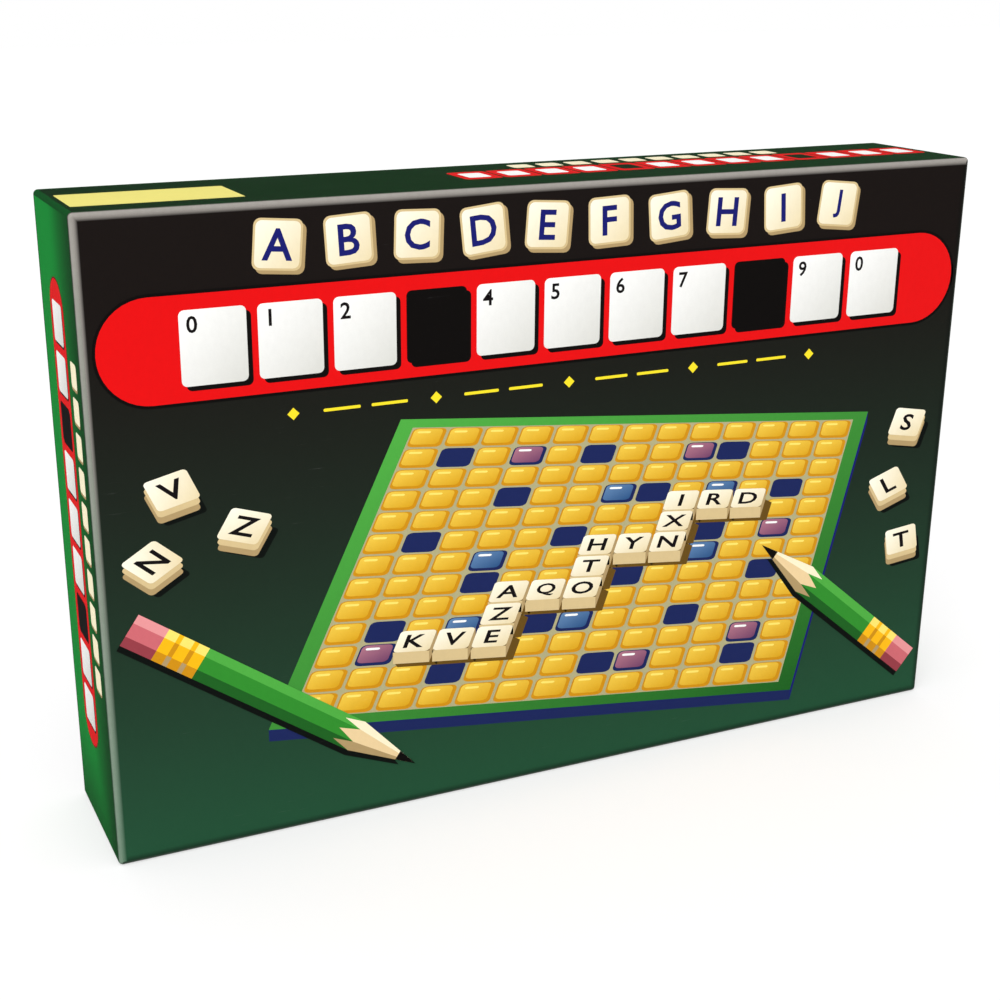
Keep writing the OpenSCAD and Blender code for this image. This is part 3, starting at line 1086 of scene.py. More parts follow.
@dataclass
class BoardPlan:
    """Layout of the playing board: where tiles lie and which dot each square has."""

    cells: int = 15
    runs: tuple[tuple[int, int, int, int, int], ...] = (
        (4, 8, 1, 0, 7), (6, 9, 0, 1, 3), (6, 5, 0, 1, 3), (10, 5, 0, 1, 3),
    )
    letters: str = "EAHTKOSRINUDBLYC"
    near_ring: int = 5
    pink_ring: int = 8
    far_ring: int = 11

    def tile_cells(self) -> list[tuple[int, int]]:
        """Squares that hold a tile, in order of play."""
        return [(c + n * dc, r + n * dr) for c, r, dc, dr, count in self.runs for n in range(count)]

    def dot(self, column: int, row: int) -> Shade:
        """Colour of a square's dot: rings of colour about the middle on a yellow field.

        Args:
            column: Place across.
            row: Place up.

        Returns:
            The dot's shade.
        """
        middle = self.cells // 2
        across, up = abs(column - middle), abs(row - middle)
        ring, even = across + up, across % 2 == 0
        if ring == 0:
            return Shade.DOT_TEAL
        if ring == self.near_ring or (ring == self.far_ring and even):
            return Shade.DOT_BLUE
        return Shade.DOT_PINK if ring == self.pink_ring and even else Shade.DOT_YELLOW


@dataclass(frozen=True)
class SquareRow:
    """Row of crossword squares with cast shadows, blank but for a few filled ones."""

    count: int
    pitch: float
    size: Point
    corner: float
    filled: tuple[int, ...]
    drop: float

    def draw(self, sheet: InkSheet, middle: Point, upright: bool = False) -> list[Point]:
        """Draws the row.

        Args:
            sheet: Print to draw on.
            middle: Middle of the row.
            upright: Whether the row runs up the sheet instead of across it.

        Returns:
            Middle of each square.
        """
        if upright:
            centres = [(middle[0], level) for level in spread(self.count, self.pitch, middle[1])]
        else:
            centres = [(along, middle[1]) for along in spread(self.count, self.pitch, middle[0])]
        for step, centre in enumerate(centres):
            shadow = (centre[0] + self.drop, centre[1] - self.drop)
            sheet.shape(block(shadow, *self.size, self.corner), Shade.COAL, Ply.FIELD)
            paper = slanted(centre, self.size[0], Shade.WHITE.linear, Shade.SQUARE_GREY.linear)
            ink = Shade.COAL if step in self.filled else paper
            sheet.shape(block(centre, *self.size, self.corner), ink, Ply.FOOT)
        return centres


class Drawing:
    """One part of the picture on the lid's front."""

    def draw(self, sheet: InkSheet) -> None:
        """Draws the part; each has its own way."""
        raise NotImplementedError


@dataclass(frozen=True)
class NumberedBand(Drawing):
    """Red band with a row of numbered crossword squares."""

    middle: Point = (0.5 * MM, 136.0 * MM)
    size: Point = (253.4 * MM, 26.4 * MM)
    corner: float = 13.1 * MM
    rim: float = 0.8 * MM
    row: SquareRow = SquareRow(11, 19.6 * MM, (16.8 * MM, 18.8 * MM), 1.4 * MM, (3, 8), 1.2 * MM)
    number_place: Point = (-5.2 * MM, 5.8 * MM)
    number_height: float = 4.2 * MM

    def draw(self, sheet: InkSheet) -> None:
        """Draws the band, its squares and a digit in each blank one.

        Args:
            sheet: Print to draw on.
        """
        sheet.band(self.middle, self.size, self.corner, self.rim, Shade.COAL)
        for step, (along, level) in enumerate(self.row.draw(sheet, self.middle)):
            if step not in self.row.filled:
                corner = (along + self.number_place[0], level + self.number_place[1])
                sheet.glyph(str(step % 10), corner, self.number_height, Shade.LETTER_BLACK, Ply.RAISED)


@dataclass(frozen=True)
class LetteredRow(Drawing):
    """Row of lettered tiles above the band, each leaning a little."""

    letters: str = "ABCDEFGHIJ"
    leans: tuple[float, ...] = (-5, 3, -2, 6, -4, 2, 5, -3, 4, -6)
    middle: Point = (1.85 * MM, 159.4 * MM)
    pitch: float = 18.3 * MM
    size: float = 12.6 * MM
    corner: float = 1.8 * MM
    thick: float = 0.9 * MM
    bevel: float = 0.55 * MM
    letter_height: float = 7.8 * MM

    def draw(self, sheet: InkSheet) -> None:
        """Draws the tiles with their letters.

        Args:
            sheet: Print to draw on.
        """
        centre, face = (0.0, 0.0), self.size - 2 * self.bevel
        places = spread(len(self.letters), self.pitch, self.middle[0])
        for letter, along, lean in zip(self.letters, places, self.leans):
            place = turned((along, self.middle[1]), lean)
            side = block((self.thick, -self.thick), self.size, self.size, self.corner)
            sheet.shape(side, Shade.CREAM_SIDE, Ply.EDGE, place)
            sheet.shape(block(centre, self.size, self.size, self.corner), Shade.CREAM_EDGE, Ply.BODY, place)
            top = block(centre, face, face, self.corner - self.bevel / 2)
            sheet.shape(top, tile_tint(centre, self.size), Ply.FIELD, place)
            sheet.glyph(letter, centre, self.letter_height, Shade.NAVY, Ply.FOOT, place)


@dataclass(frozen=True)
class BrokenRule(Drawing):
    """Thin yellow rule under the band, of dashes and diamonds."""

    middle: Point = (0.0, 116.8 * MM)
    pitch: float = 13.0 * MM
    count: int = 13
    diamond_step: int = 3
    diamond: float = 1.6 * MM
    dash: Point = (10.0 * MM, 0.8 * MM)
    dash_corner: float = 0.3 * MM

    def draw(self, sheet: InkSheet) -> None:
        """Draws the rule.

        Args:
            sheet: Print to draw on.
        """
        for step, along in enumerate(spread(self.count, self.pitch, self.middle[0])):
            centre = (along, self.middle[1])
            if step % self.diamond_step:
                mark = block(centre, *self.dash, self.dash_corner)
            else:
                mark = disc(centre, self.diamond, 4)
            sheet.shape(mark, Shade.RULE_YELLOW, Ply.EDGE)


@dataclass(frozen=True)
class DrawnGrid(Drawing):
    """Crossword grid in perspective, with raised squares and a stair of tiles. Shares are of one square."""

    corners: tuple[Point, ...] = (
        (-88.0 * MM, 31.0 * MM), (80.0 * MM, 10.0 * MM), (101.0 * MM, 97.0 * MM), (-49.0 * MM, 112.0 * MM),
    )
    cells: int = 13
    margin: float = 0.03
    thick: float = 3.4 * MM
    corner_steps: int = 3
    foot: float = 0.92
    foot_corner: float = 0.16
    raised: Point = (0.78, 0.76)
    raised_corner: float = 0.14
    raised_shift: Point = (-0.03, 0.05)
    glint: Point = (0.36, 0.10)
    glint_corner: float = 0.045
    glint_shift: Point = (-0.14, 0.27)
    shine: float = 0.4
    pale_shine: float = 0.1
    dullness: float = 0.6
    letters: str = "KVEZAQOTHYNXIRD"
    tread: int = 2
    tile_rise: float = 3.4 * MM
    tile_corner: float = 0.12
    letter_height: float = 0.62
    shadow: tuple[Point, ...] = ((0.06, 0.0), (0.16, -0.16), (1.24, -0.16), (1.24, 0.8), (1.0, 0.98))
    block_pitch: int = 4
    blocks: tuple[tuple[int, int], ...] = ((3, 1), (1, 3))
    blue_ring: int = 3
    blue_step: int = 3
    pink_ring: int = 5
    pink_step: int = 5

    def draw(self, sheet: InkSheet) -> None:
        """Draws the slab, its squares and the stair of tiles.

        Args:
            sheet: Print to draw on.
        """
        view = plane_view(self.corners)
        self.draw_slab(sheet, view)
        for column in range(self.cells):
            for row in range(self.cells):
                self.draw_square(sheet, self.cell_view(view, column, row), self.square_shade(column, row))
        for step, letter in enumerate(self.letters):
            flight, along = divmod(step, 2 * self.tread)
            start = self.tread * (1 + flight)
            column, row = start + min(along, self.tread), start + max(along - self.tread, 0)
            self.draw_tile(sheet, self.cell_view(view, column, row), letter)

    def draw_slab(self, sheet: InkSheet, view: Place) -> None:
        """Draws the board under the squares: its near sides, its border and its field.

        Args:
            sheet: Print to draw on.
            view: View of the grid.
        """
        ends = [view(0, 0), view(1, 0), view(1, 1)]
        for start, end, shade in zip(ends, ends[1:], (Shade.FRAME_BLUE, Shade.NAVY)):
            side = [(start[0], start[1] - self.thick), (end[0], end[1] - self.thick), end, start]
            sheet.shape(side, shade, Ply.EDGE)
        green = slanted((0.5, 0.5), 1.0, Shade.RACK_LIGHT.linear, Shade.RACK_DARK.linear)
        for inset, ink, layer in ((0.0, green, Ply.BODY), (self.margin, Shade.FIELD_GREY, Ply.FIELD)):
            sheet.shape(rectangle((inset, inset), (1 - inset, 1 - inset)), ink, layer, view)

    def cell_view(self, view: Place, column: int, row: int) -> Place:
        """View of one square, one unit wide about its middle.

        Args:
            view: View of the grid.
            column: Place across.
            row: Place away from the viewer.

        Returns:
            A function from the square to the picture.
        """
        step = (1.0 - 2.0 * self.margin) / self.cells

        def place(u: float, v: float) -> Point:
            """Picture point of a point of the square."""
            return view(self.margin + (column + 0.5 + u) * step, self.margin + (row + 0.5 + v) * step)

        return place

    def square_shade(self, column: int, row: int) -> Shade:
        """Shade of a square: blocks in half-turn symmetry, and coloured rings.

        Args:
            column: Place across.
            row: Place away from the viewer.

        Returns:
            The square's shade.
        """
        middle = self.cells // 2
        ring = max(abs(column - middle), abs(row - middle))
        if (column % self.block_pitch, row % self.block_pitch) in self.blocks:
            return Shade.FRAME_BLUE
        if ring == self.blue_ring and (column + row) % self.blue_step == 0:
            return Shade.DOT_BLUE
        pink = ring == self.pink_ring and (column + 2 * row) % self.pink_step == 0
        return Shade.DOT_PINK if pink else Shade.DOT_YELLOW

    def draw_square(self, sheet: InkSheet, place: Place, shade: Shade) -> None:
        """Draws one raised square with its dark foot and its glint.

        Args:
            sheet: Print to draw on.
            place: View of the square.
            shade: Its shade; a block is left flat.
        """
        yellow = shade is Shade.DOT_YELLOW
        foot = Shade.DOT_AMBER if yellow else Shade.FRAME_BLUE
        flat = block((0.0, 0.0), self.foot, self.foot, self.foot_corner, self.corner_steps)
        sheet.shape(flat, foot, Ply.FOOT, place)
        if shade is Shade.FRAME_BLUE:
            return
        light, share = (Shade.SUN_YELLOW, self.shine) if yellow else (Shade.WHITE, self.pale_shine)
        bright = linear_mix(shade.linear, light.linear, share)
        dull = linear_mix(shade.linear, foot.linear, self.dullness)
        tint = slanted(self.raised_shift, self.raised[0], bright, dull)
        raised = block(self.raised_shift, *self.raised, self.raised_corner, self.corner_steps)
        sheet.shape(raised, tint, Ply.RAISED, place)
        sheet.shape(block(self.glint_shift, *self.glint, self.glint_corner, 2), light, Ply.GLINT, place)

    def draw_tile(self, sheet: InkSheet, place: Place, letter: str) -> None:
        """Draws one tile standing on a square, with its shadow.

        Args:
            sheet: Print to draw on.
            place: View of the square.
            letter: The tile's letter.
        """
        def on_grid(u: float, v: float) -> Point:
            """Point under the tile, from 0 to 1 each way."""
            return place((u - 0.5) * self.foot, (v - 0.5) * self.foot)

        def on_top(u: float, v: float) -> Point:
            """Point of the tile's face, from 0 to 1 each way."""
            across, up = on_grid(u, v)
            return across, up + self.tile_rise

        sheet.shape(self.shadow, Shade.UMBER, Ply.SHADOW, on_grid)
        corners = ((0, 0), (1, 0), (1, 1))
        for start, end, shade in zip(corners, corners[1:], (Shade.CREAM_EDGE, Shade.CREAM_SIDE)):
            side = [on_grid(*start), on_grid(*end), on_top(*end), on_top(*start)]
            sheet.shape(side, shade, Ply.SIDE)
        middle = (0.5, 0.5)
        face = block(middle, 1.0, 1.0, self.tile_corner)
        sheet.shape(face, tile_tint(middle, 1.0), Ply.FACE, on_top)
        sheet.glyph(letter, middle, self.letter_height, Shade.LETTER_BLACK, Ply.MARK, on_top)


@dataclass(frozen=True)
class DrawnPencil(Drawing):
    """Six-sided pencil lying on the picture. Lengths along and across it are in half widths."""

    tail: Point
    tip: Point
    half: float = 4.6 * MM
    rubber: float = 2.0
    ring: float = 0.7
    crimp: float = 0.3
    rings: int = 3
    cone: float = 4.6
    bulge: float = 1.3
    lead: float = 1.4
    lead_half: float = 0.3
    shadow: float = 1.35
    facets: tuple[float, ...] = (-1.0, -0.4, 0.45, 1.0)

    def draw(self, sheet: InkSheet) -> None:
        """Draws the pencil and its shadow.

        Args:
            sheet: Print to draw on.
        """
        reach = Vector(self.tip) - Vector(self.tail)
        length = reach.length / self.half
        along = reach / length
        aside = Vector((-along.y, along.x)) * math.copysign(1.0, along.x)

        def spot(run: float, off: float) -> Point:
            """Picture point at a run along the pencil and off its middle."""
            return tuple(Vector(self.tail) + along * run + aside * off)

        neck = length - self.cone
        shadow = [(0.0, -self.shadow), (neck, -self.shadow), (length - 1.0, -0.5), (neck, 1.0), (0.0, 1.0)]
        sheet.shape(shadow, Shade.SHADOW, Ply.SHADOW, spot)
        sides = list(zip(self.facets, self.facets[1:]))
        for first, last, shades in self.parts(neck):
            for (low, high), shade in zip(sides, shades):
                sheet.shape(rectangle((first, low), (last, high)), shade, Ply.SIDE, spot)
        for (low, high), shade in zip(sides, (Shade.CREAM_SIDE, Shade.WOOD, Shade.CREAM)):
            wood = [(neck, low), (length, 0.0), (neck, high), (neck - self.bulge, (low + high) / 2)]
            sheet.shape(wood, shade, Ply.FACE, spot)
        lead = length - self.lead
        point = [(lead, -self.lead_half), (length, 0.0), (lead, self.lead_half)]
        sheet.shape(point, Shade.COAL, Ply.MARK, spot)

    def parts(self, neck: float) -> list[tuple[float, float, tuple[Shade, Shade, Shade]]]:
        """Straight lengths of the pencil, from the rubber to the wood.

        Args:
            neck: Where the wood starts.

        Returns:
            Start, end and the shades of the three facets of each length.
        """
        brass = (Shade.DOT_AMBER, Shade.POINTER_YELLOW, Shade.SUN_YELLOW)
        crimp = (Shade.CREAM_SIDE, Shade.DOT_AMBER, Shade.POINTER_YELLOW)
        lengths = [(self.rubber, (Shade.RUBBER_DARK, Shade.RUBBER, Shade.RUBBER_LIGHT)), (self.ring, brass)]
        lengths += [(self.crimp, crimp), (self.ring, brass)] * (self.rings - 1)
        parts, end = [], 0.0
        for length, shades in lengths:
            parts.append((end, end + length, shades))
            end += length
        return parts + [(end, neck, (Shade.RACK_DARK, Shade.RACK_MID, Shade.RACK_LIGHT))]


@dataclass(frozen=True)
class LooseTiles(Drawing):
    """Loose tiles lying about the grid, each a place, a turn in degrees and a letter."""

    tiles: tuple[tuple[float, float, float, str], ...] = (
        (-110 * MM, 101 * MM, 18, "V"), (-92 * MM, 89 * MM, -24, "Z"), (-116 * MM, 83 * MM, 40, "N"),
        (116 * MM, 92 * MM, -14, "S"), (111 * MM, 73 * MM, 25, "L"), (118 * MM, 54 * MM, 8, "T"),
    )
    size: float = 11.5 * MM
    corner: float = 1.2 * MM
    thick: float = 3.2 * MM
    squash: float = 0.72
    shadow: Point = (1.6 * MM, 4.0 * MM)
    letter_height: float = 7.0 * MM

    def draw(self, sheet: InkSheet) -> None:
        """Draws the tiles as seen from above their front.

        Args:
            sheet: Print to draw on.
        """
        centre = (0.0, 0.0)
        outline = block(centre, self.size, self.size, self.corner)
        steps = (
            (*self.shadow, Shade.SHADOW, Ply.EDGE), (0.0, self.thick, Shade.CREAM_SIDE, Ply.BODY),
            (0.0, self.thick / 2, Shade.CREAM_EDGE, Ply.FIELD),
        )
        for across, up, degrees, letter in self.tiles:
            for shift, drop, shade, layer in steps:
                sheet.shape(outline, shade, layer, turned((across + shift, up - drop), degrees, self.squash))
            place = turned((across, up), degrees, self.squash)
            sheet.shape(outline, tile_tint(centre, self.size), Ply.FOOT, place)
            sheet.glyph(letter, centre, self.letter_height, Shade.LETTER_BLACK, Ply.RAISED, place)


@dataclass
class SidePrints:
    """Prints on the lid's sides: grounds, with painted shade on the short ends, a pale label, rows of squares
    and rows of small tiles.
    """

    edge: float
    # Painted shade on the short ends: shares over which the ground darkens towards the front edge and towards
    # the foot.
    front_edge_shade: Point = (0.45, 0.95)
    foot_shade: Point = (0.14, -0.06)
    end_cells: tuple[int, int] = (12, 24)
    band: Point = (16.0 * MM, 126.0 * MM)
    band_corner: float = 7.9 * MM
    band_rim: float = 0.4 * MM
    band_place: Point = (1.6 * MM, 88.0 * MM)
    band_row: SquareRow = SquareRow(9, 13.0 * MM, (11.0 * MM, 10.4 * MM), 1.0 * MM, (2, 6), 0.5 * MM)
    tile_count: int = 10
    tile_pitch: float = 8.9 * MM
    tile: float = 6.4 * MM
    tile_corner: float = 1.0 * MM
    tile_drop: float = 0.7 * MM
    end_tiles: Point = (-13.4 * MM, 90.0 * MM)
    top_tiles: Point = (42.0 * MM, 13.4 * MM)
    label: Point = (42.4 * MM, 21.0 * MM)
    label_corner: float = 0.6 * MM
    label_place: Point = (-106.4 * MM, -2.2 * MM)
    top_count: int = 13
    top_pitch: float = 11.6 * MM
    top_place: Point = (51.6 * MM, 0.6 * MM)
    top_rim: Point = (11.0 * MM, 14.5 * MM)
    top_rim_corner: float = 1.4 * MM
    top_square: Point = (6.6 * MM, 8.6 * MM)
    top_square_corner: float = 0.9 * MM
    top_filled: tuple[int, int] = (4, 9)
    top_dusk: float = 0.25
    top_cells: int = 6

    def build(self) -> None:
        """Prints the two short sides and the two long ones."""
        self.low, self.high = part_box("lid")
        self.middle = (self.low[1] + self.high[1]) / 2
        self.deep = (self.high[1] - self.low[1]) / 2 - self.edge
        for name, side, across in (("left", self.low[0], -1.0), ("right", self.high[0], 1.0)):
            self.print_end(name, side, across)
        for name, level, up in (("top", self.high[2], 1.0), ("bottom", self.low[2], -1.0)):
            self.print_long_side(name, level, up)

    def print_end(self, name: str, side: float, across: float) -> None:
        """Prints a short side: green ground with painted shade, red band of squares and a row of small tiles.

        Args:
            name: Name of the side.
            side: Its place along X.
            across: Which way along Y the print reads, 1 or -1.
        """
        def ground(s: float, t: float) -> Colour:
            """Ink of the ground with painted shade: brightest towards the back, darker towards the front edge
            and at the foot.
            """
            end_shade = max(between(s if across < 0 else 1.0 - s, *self.front_edge_shade), between(t, *self.foot_shade))
            return mix(Shade.LEAF, Shade.BOTTLE, end_shade)

        sheet = InkSheet(Vector((side, self.middle, self.low[2])), Vector((0, across, 0)))
        head = self.high[2] - self.low[2] - self.edge
        sheet.fade((-self.deep, self.edge), (self.deep, head), ground, *self.end_cells)
        centre = (across * self.band_place[0], self.band_place[1])
        sheet.band(centre, self.band, self.band_corner, self.band_rim, Shade.DARK_RED)
        self.band_row.draw(sheet, centre, upright=True)
        levels = spread(self.tile_count, self.tile_pitch, self.end_tiles[1])
        self.print_tiles(sheet, [(across * self.end_tiles[0], level) for level in levels])
        add_piece(f"lid_{name}_print", sheet.mesh(), LID_PRINT, "lid", "lid_print")

    def print_long_side(self, name: str, level: float, up: float) -> None:
        """Prints a long side: dark green ground and, on the top, a label and two rows.

        Args:
            name: Name of the side.
            level: Its place along Z.
            up: Which way along Y is up on the print, 1 or -1.
        """
        def ground(s: float, _: float) -> Colour:
            """Ink of the ground, a little lighter to the right."""
            return mix(Shade.LID_TOP, Shade.BOTTLE, self.top_dusk * s)

        sheet = InkSheet(Vector((0.0, self.middle, level)), up=Vector((0, up, 0)))
        half = self.high[0] - self.edge
        sheet.fade((-half, -self.deep), (half, self.deep), ground, self.top_cells, 1)
        if up > 0:
            sheet.shape(block(self.label_place, *self.label, self.label_corner), Shade.LABEL_YELLOW, Ply.EDGE)
            for step, along in enumerate(spread(self.top_count, self.top_pitch, self.top_place[0])):
                centre = (along, self.top_place[1])
                sheet.shape(block(centre, *self.top_rim, self.top_rim_corner), Shade.SIGNAL_RED, Ply.EDGE)
                shade = Shade.LID_TOP if step in self.top_filled else Shade.WHITE
                sheet.shape(block(centre, *self.top_square, self.top_square_corner), shade, Ply.BODY)
            places = spread(self.tile_count, self.tile_pitch, self.top_tiles[0])
            self.print_tiles(sheet, [(along, self.top_tiles[1]) for along in places])
        add_piece(f"lid_{name}_print", sheet.mesh(), LID_PRINT, "lid", "lid_print")

    def print_tiles(self, sheet: InkSheet, centres: Iterable[Point]) -> None:
        """Prints small blank tiles.

        Args:
            sheet: Print to draw on.
            centres: Middle of each tile.
        """
        steps = ((self.tile_drop, Shade.CREAM_SIDE, Ply.EDGE), (0.0, Shade.CREAM, Ply.BODY))
        for across, up in centres:
            for drop, shade, layer in steps:
                sheet.shape(block((across, up - drop), self.tile, self.tile, self.tile_corner), shade, layer)


@dataclass
class CardBox:
    """The lid with its print, and the base that slides in it."""

    wall: float = 1.6 * MM
    edge: float = 1.2 * MM
    turn_in: float = 16.0 * MM
    lip: float = 0.3 * MM
    scuff: float = 1.0 * MM
    paper: float = 0.08 * MM
    seam_wear: float = 0.4
    rim_wear: float = 0.8
    lip_wear: float = 0.3
    least_corner: float = 0.2 * MM
    arc_steps: int = 5
    # Painted light and shade on the front's folds: widths of the highlight and shade bands, where each starts
    # on the rounding, how dark the shade is and how far up the highlight stays green.
    highlight_band: float = 0.9 * MM
    fold_shade_band: float = 1.4 * MM
    fold_steps: int = 24
    highlight_rise: float = 0.55
    fold_shade_rise: float = 0.05
    fold_shade_share: float = 0.6
    highlight_green_reach: float = 0.7
    moss_level: float = 0.55
    night_level: float = 0.85
    front_cells: tuple[int, int] = (4, 24)
    picture: tuple[Drawing, ...] = (
        DrawnGrid(),
        LooseTiles(),
        DrawnPencil((-123.0 * MM, 66.0 * MM), (-46.0 * MM, 12.0 * MM)),
        DrawnPencil((124.0 * MM, 12.0 * MM), (66.0 * MM, 60.0 * MM)),
        NumberedBand(),
        LetteredRow(),
        BrokenRule(),
    )

    def __post_init__(self) -> None:
        """Reads the lid's place from the frame."""
        low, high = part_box("lid")
        self.left, self.front, self.foot = low
        self.right, self.rim, self.top = high

    def build(self) -> None:
        """Makes the lid, its prints and the base."""
        skins = (Shade.BOTTLE, Shade.BOTTLE, Shade.LINER)
        lid = self.shell("lid", self.front, self.rim, skins)
        # Painted highlight and shade on the front's rounded folds.
        self.paint_fold_light_and_shade(lid)
        add_piece("lid_shell", lid, LID_PRINT, "lid", "lid_print", "lid")
        self.print_front()
        SidePrints(self.edge).build()
        low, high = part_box("base_box")
        base = self.shell("base_box", high[1], low[1], (Shade.BASE_BLACK, Shade.BASE_BLACK, Shade.LINER))
        add_piece("base_shell", base, BASE_WRAP, "base", "base_wrap", "base_box")

    def ring(self, node: str, inset: float, depth: float) -> list[Vector]:
        """Rounded rectangle round a box node.

        Args:
            node: Node whose box gives the size.
            inset: Distance in from the node's sides.
            depth: Place along Y.

        Returns:
            The ring's points.
        """
        low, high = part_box(node)
        middle = ((low[0] + high[0]) / 2, (low[2] + high[2]) / 2)
        width, height = high[0] - low[0] - 2 * inset, high[2] - low[2] - 2 * inset
        loop = block(middle, width, height, max(self.edge - inset, self.least_corner), self.arc_steps)
        return [Vector((across, depth, up)) for across, up in loop]

    def shell(self, node: str, closed: float, opened: float, skins: tuple[Shade, Shade, Shade]) -> Mesh:
        """Card tray with folded edges, lined inside.

        Args:
            node: Node whose box gives the size.
            closed: Y of the closed face.
            opened: Y of the open rim.
            skins: Shades outside, of the turned-in paper and of the bare inside.

        Returns:
            The tray's mesh with ink and wear.
        """
        outer, turned_in, bare = (shade.linear for shade in skins)
        way = math.copysign(1.0, opened - closed)
        liner = self.wall - self.paper
        rows = [
            (self.wall, closed + way * self.wall, bare, 0.0),
            (self.wall, opened - way * self.turn_in, bare, 0.0),
            (liner, opened - way * (self.turn_in - self.paper), turned_in, self.seam_wear),
            (liner, opened - way * (self.turn_in - self.scuff), turned_in, 0.0),
            (liner, opened - way * self.lip, turned_in, 0.0),
            (self.wall - self.lip, opened, turned_in, self.rim_wear),
            (self.lip, opened, outer, self.rim_wear),
            (0.0, opened - way * self.lip, outer, self.lip_wear),
            (0.0, opened - way * self.scuff, outer, 0.0),
        ]
        for step in range(self.arc_steps + 1):
            turn = math.pi / 2 * step / self.arc_steps
            inset, rise = self.edge * (1 - math.cos(turn)), self.edge * (1 - math.sin(turn))
            rows.append((inset, closed + way * rise, outer, math.sin(2 * turn)))
        rings = [self.ring(node, inset, depth) for inset, depth, _, _ in rows]
        count = len(rings[0])
        mesh = inked(lofted(rings), [ink for _, _, ink, _ in rows for _ in range(count)])
        worn = mesh.attributes.new(WEAR, "FLOAT", "POINT")
        worn.data.foreach_set("value", [wear for _, _, _, wear in rows for _ in range(count)])
        return settled(mesh)

    def fold_highlight_ink(self, share: float) -> Colour:
        """Painted highlight on a fold at a share of the front's height, greener towards the foot."""
        return mix(Shade.FOLD_GREEN, Shade.FOLD_GREY, between(share, 0.0, self.highlight_green_reach))

    def fold_shade_ink(self, share: float) -> Colour:
        """Painted shade on a fold at a share of the front's height: the front's own ground, darkened."""
        return linear_mix(self.front_ink(0.0, share), Shade.SHADOW.linear, self.fold_shade_share)

    def front_ink(self, _: float, share: float) -> Colour:
        """Ink of the front's ground: near black above, green below.

        Args:
            share: Height on the front, from 0 to 1.

        Returns:
            The ink.
        """
        if share > self.moss_level:
            return mix(Shade.MOSS, Shade.NIGHT, between(share, self.moss_level, self.night_level))
        return mix(Shade.PINE, Shade.MOSS, between(share, 0.0, self.moss_level))

    def paint_fold_light_and_shade(self, mesh: Mesh) -> None:
        """Paints light and shade on the front's rounded folds: a painted highlight along the top and the
        left, painted shade along the others.

        Args:
            mesh: The lid's shell.
        """
        inks = mesh.color_attributes[INK].data
        for vertex in mesh.vertices:
            across, depth, up = vertex.co
            rise = (self.front + self.edge - depth) / self.edge
            share = (up - self.foot) / (self.top - self.foot)
            # The fold nearer the top or the left gets the painted highlight; the others get painted shade.
            pale = min(across - self.left, self.top - up) < min(self.right - across, up - self.foot)
            if pale and rise > self.highlight_rise:
                inks[vertex.index].color = (*self.fold_highlight_ink(share), 1.0)
            elif rise > self.fold_shade_rise:
                inks[vertex.index].color = (*self.fold_shade_ink(share), 1.0)

    def print_front(self) -> None:
        """Prints the lid's front: ground, painted fold highlight and shade, and picture."""
        sheet = InkSheet(Vector((0.0, self.front, self.foot)))
        half = self.right - self.edge
        head = self.top - self.foot - self.edge
        sheet.fade((-half, self.edge), (half, head), self.front_ink, *self.front_cells)
        self.print_fold_light_and_shade(sheet, half, head)
        for drawing in self.picture:
            drawing.draw(sheet)
        add_piece("lid_front_print", sheet.mesh(), LID_PRINT, "lid", "lid_print")

    def print_fold_light_and_shade(self, sheet: InkSheet, half: float, head: float) -> None:
        """Prints a painted highlight inside the front's left and upper folds and a painted shade line inside
        the others.

        Args:
            sheet: The front's print.
            half: Half the width of the print.
            head: Height of the print's upper edge.
        """
        foot, pale, steps = self.edge, self.highlight_band, self.fold_steps
        # The first fold is the painted highlight along the left and the top, the second the painted shade
        # along the right and the foot.
        folds = (
            ((-half, head), (half, foot), pale, self.fold_highlight_ink),
            ((half, foot), (pale - half, head - pale), self.fold_shade_band, self.fold_shade_ink),
        )
        for (side, level), (far_side, far_level), band, ink in folds:
            points, inks = [], []
            for inset in (0.0, band):
                corner = (side - math.copysign(inset, side), level + math.copysign(inset, far_level - level))
                for step in range(steps + 1):
                    height = far_level + (corner[1] - far_level) * step / steps
                    share = (height - foot) / (head - foot)
                    points.append((corner[0], height))
                    inks.append(self.front_ink(0.0, share) if inset else ink(share))
                points.append((far_side, corner[1]))
                inks.append(inks[-1])
            row = steps + 2
            sheet.add(points, [(n, row + n, row + n + 1, n + 1) for n in range(row - 1)], inks, Ply.EDGE)


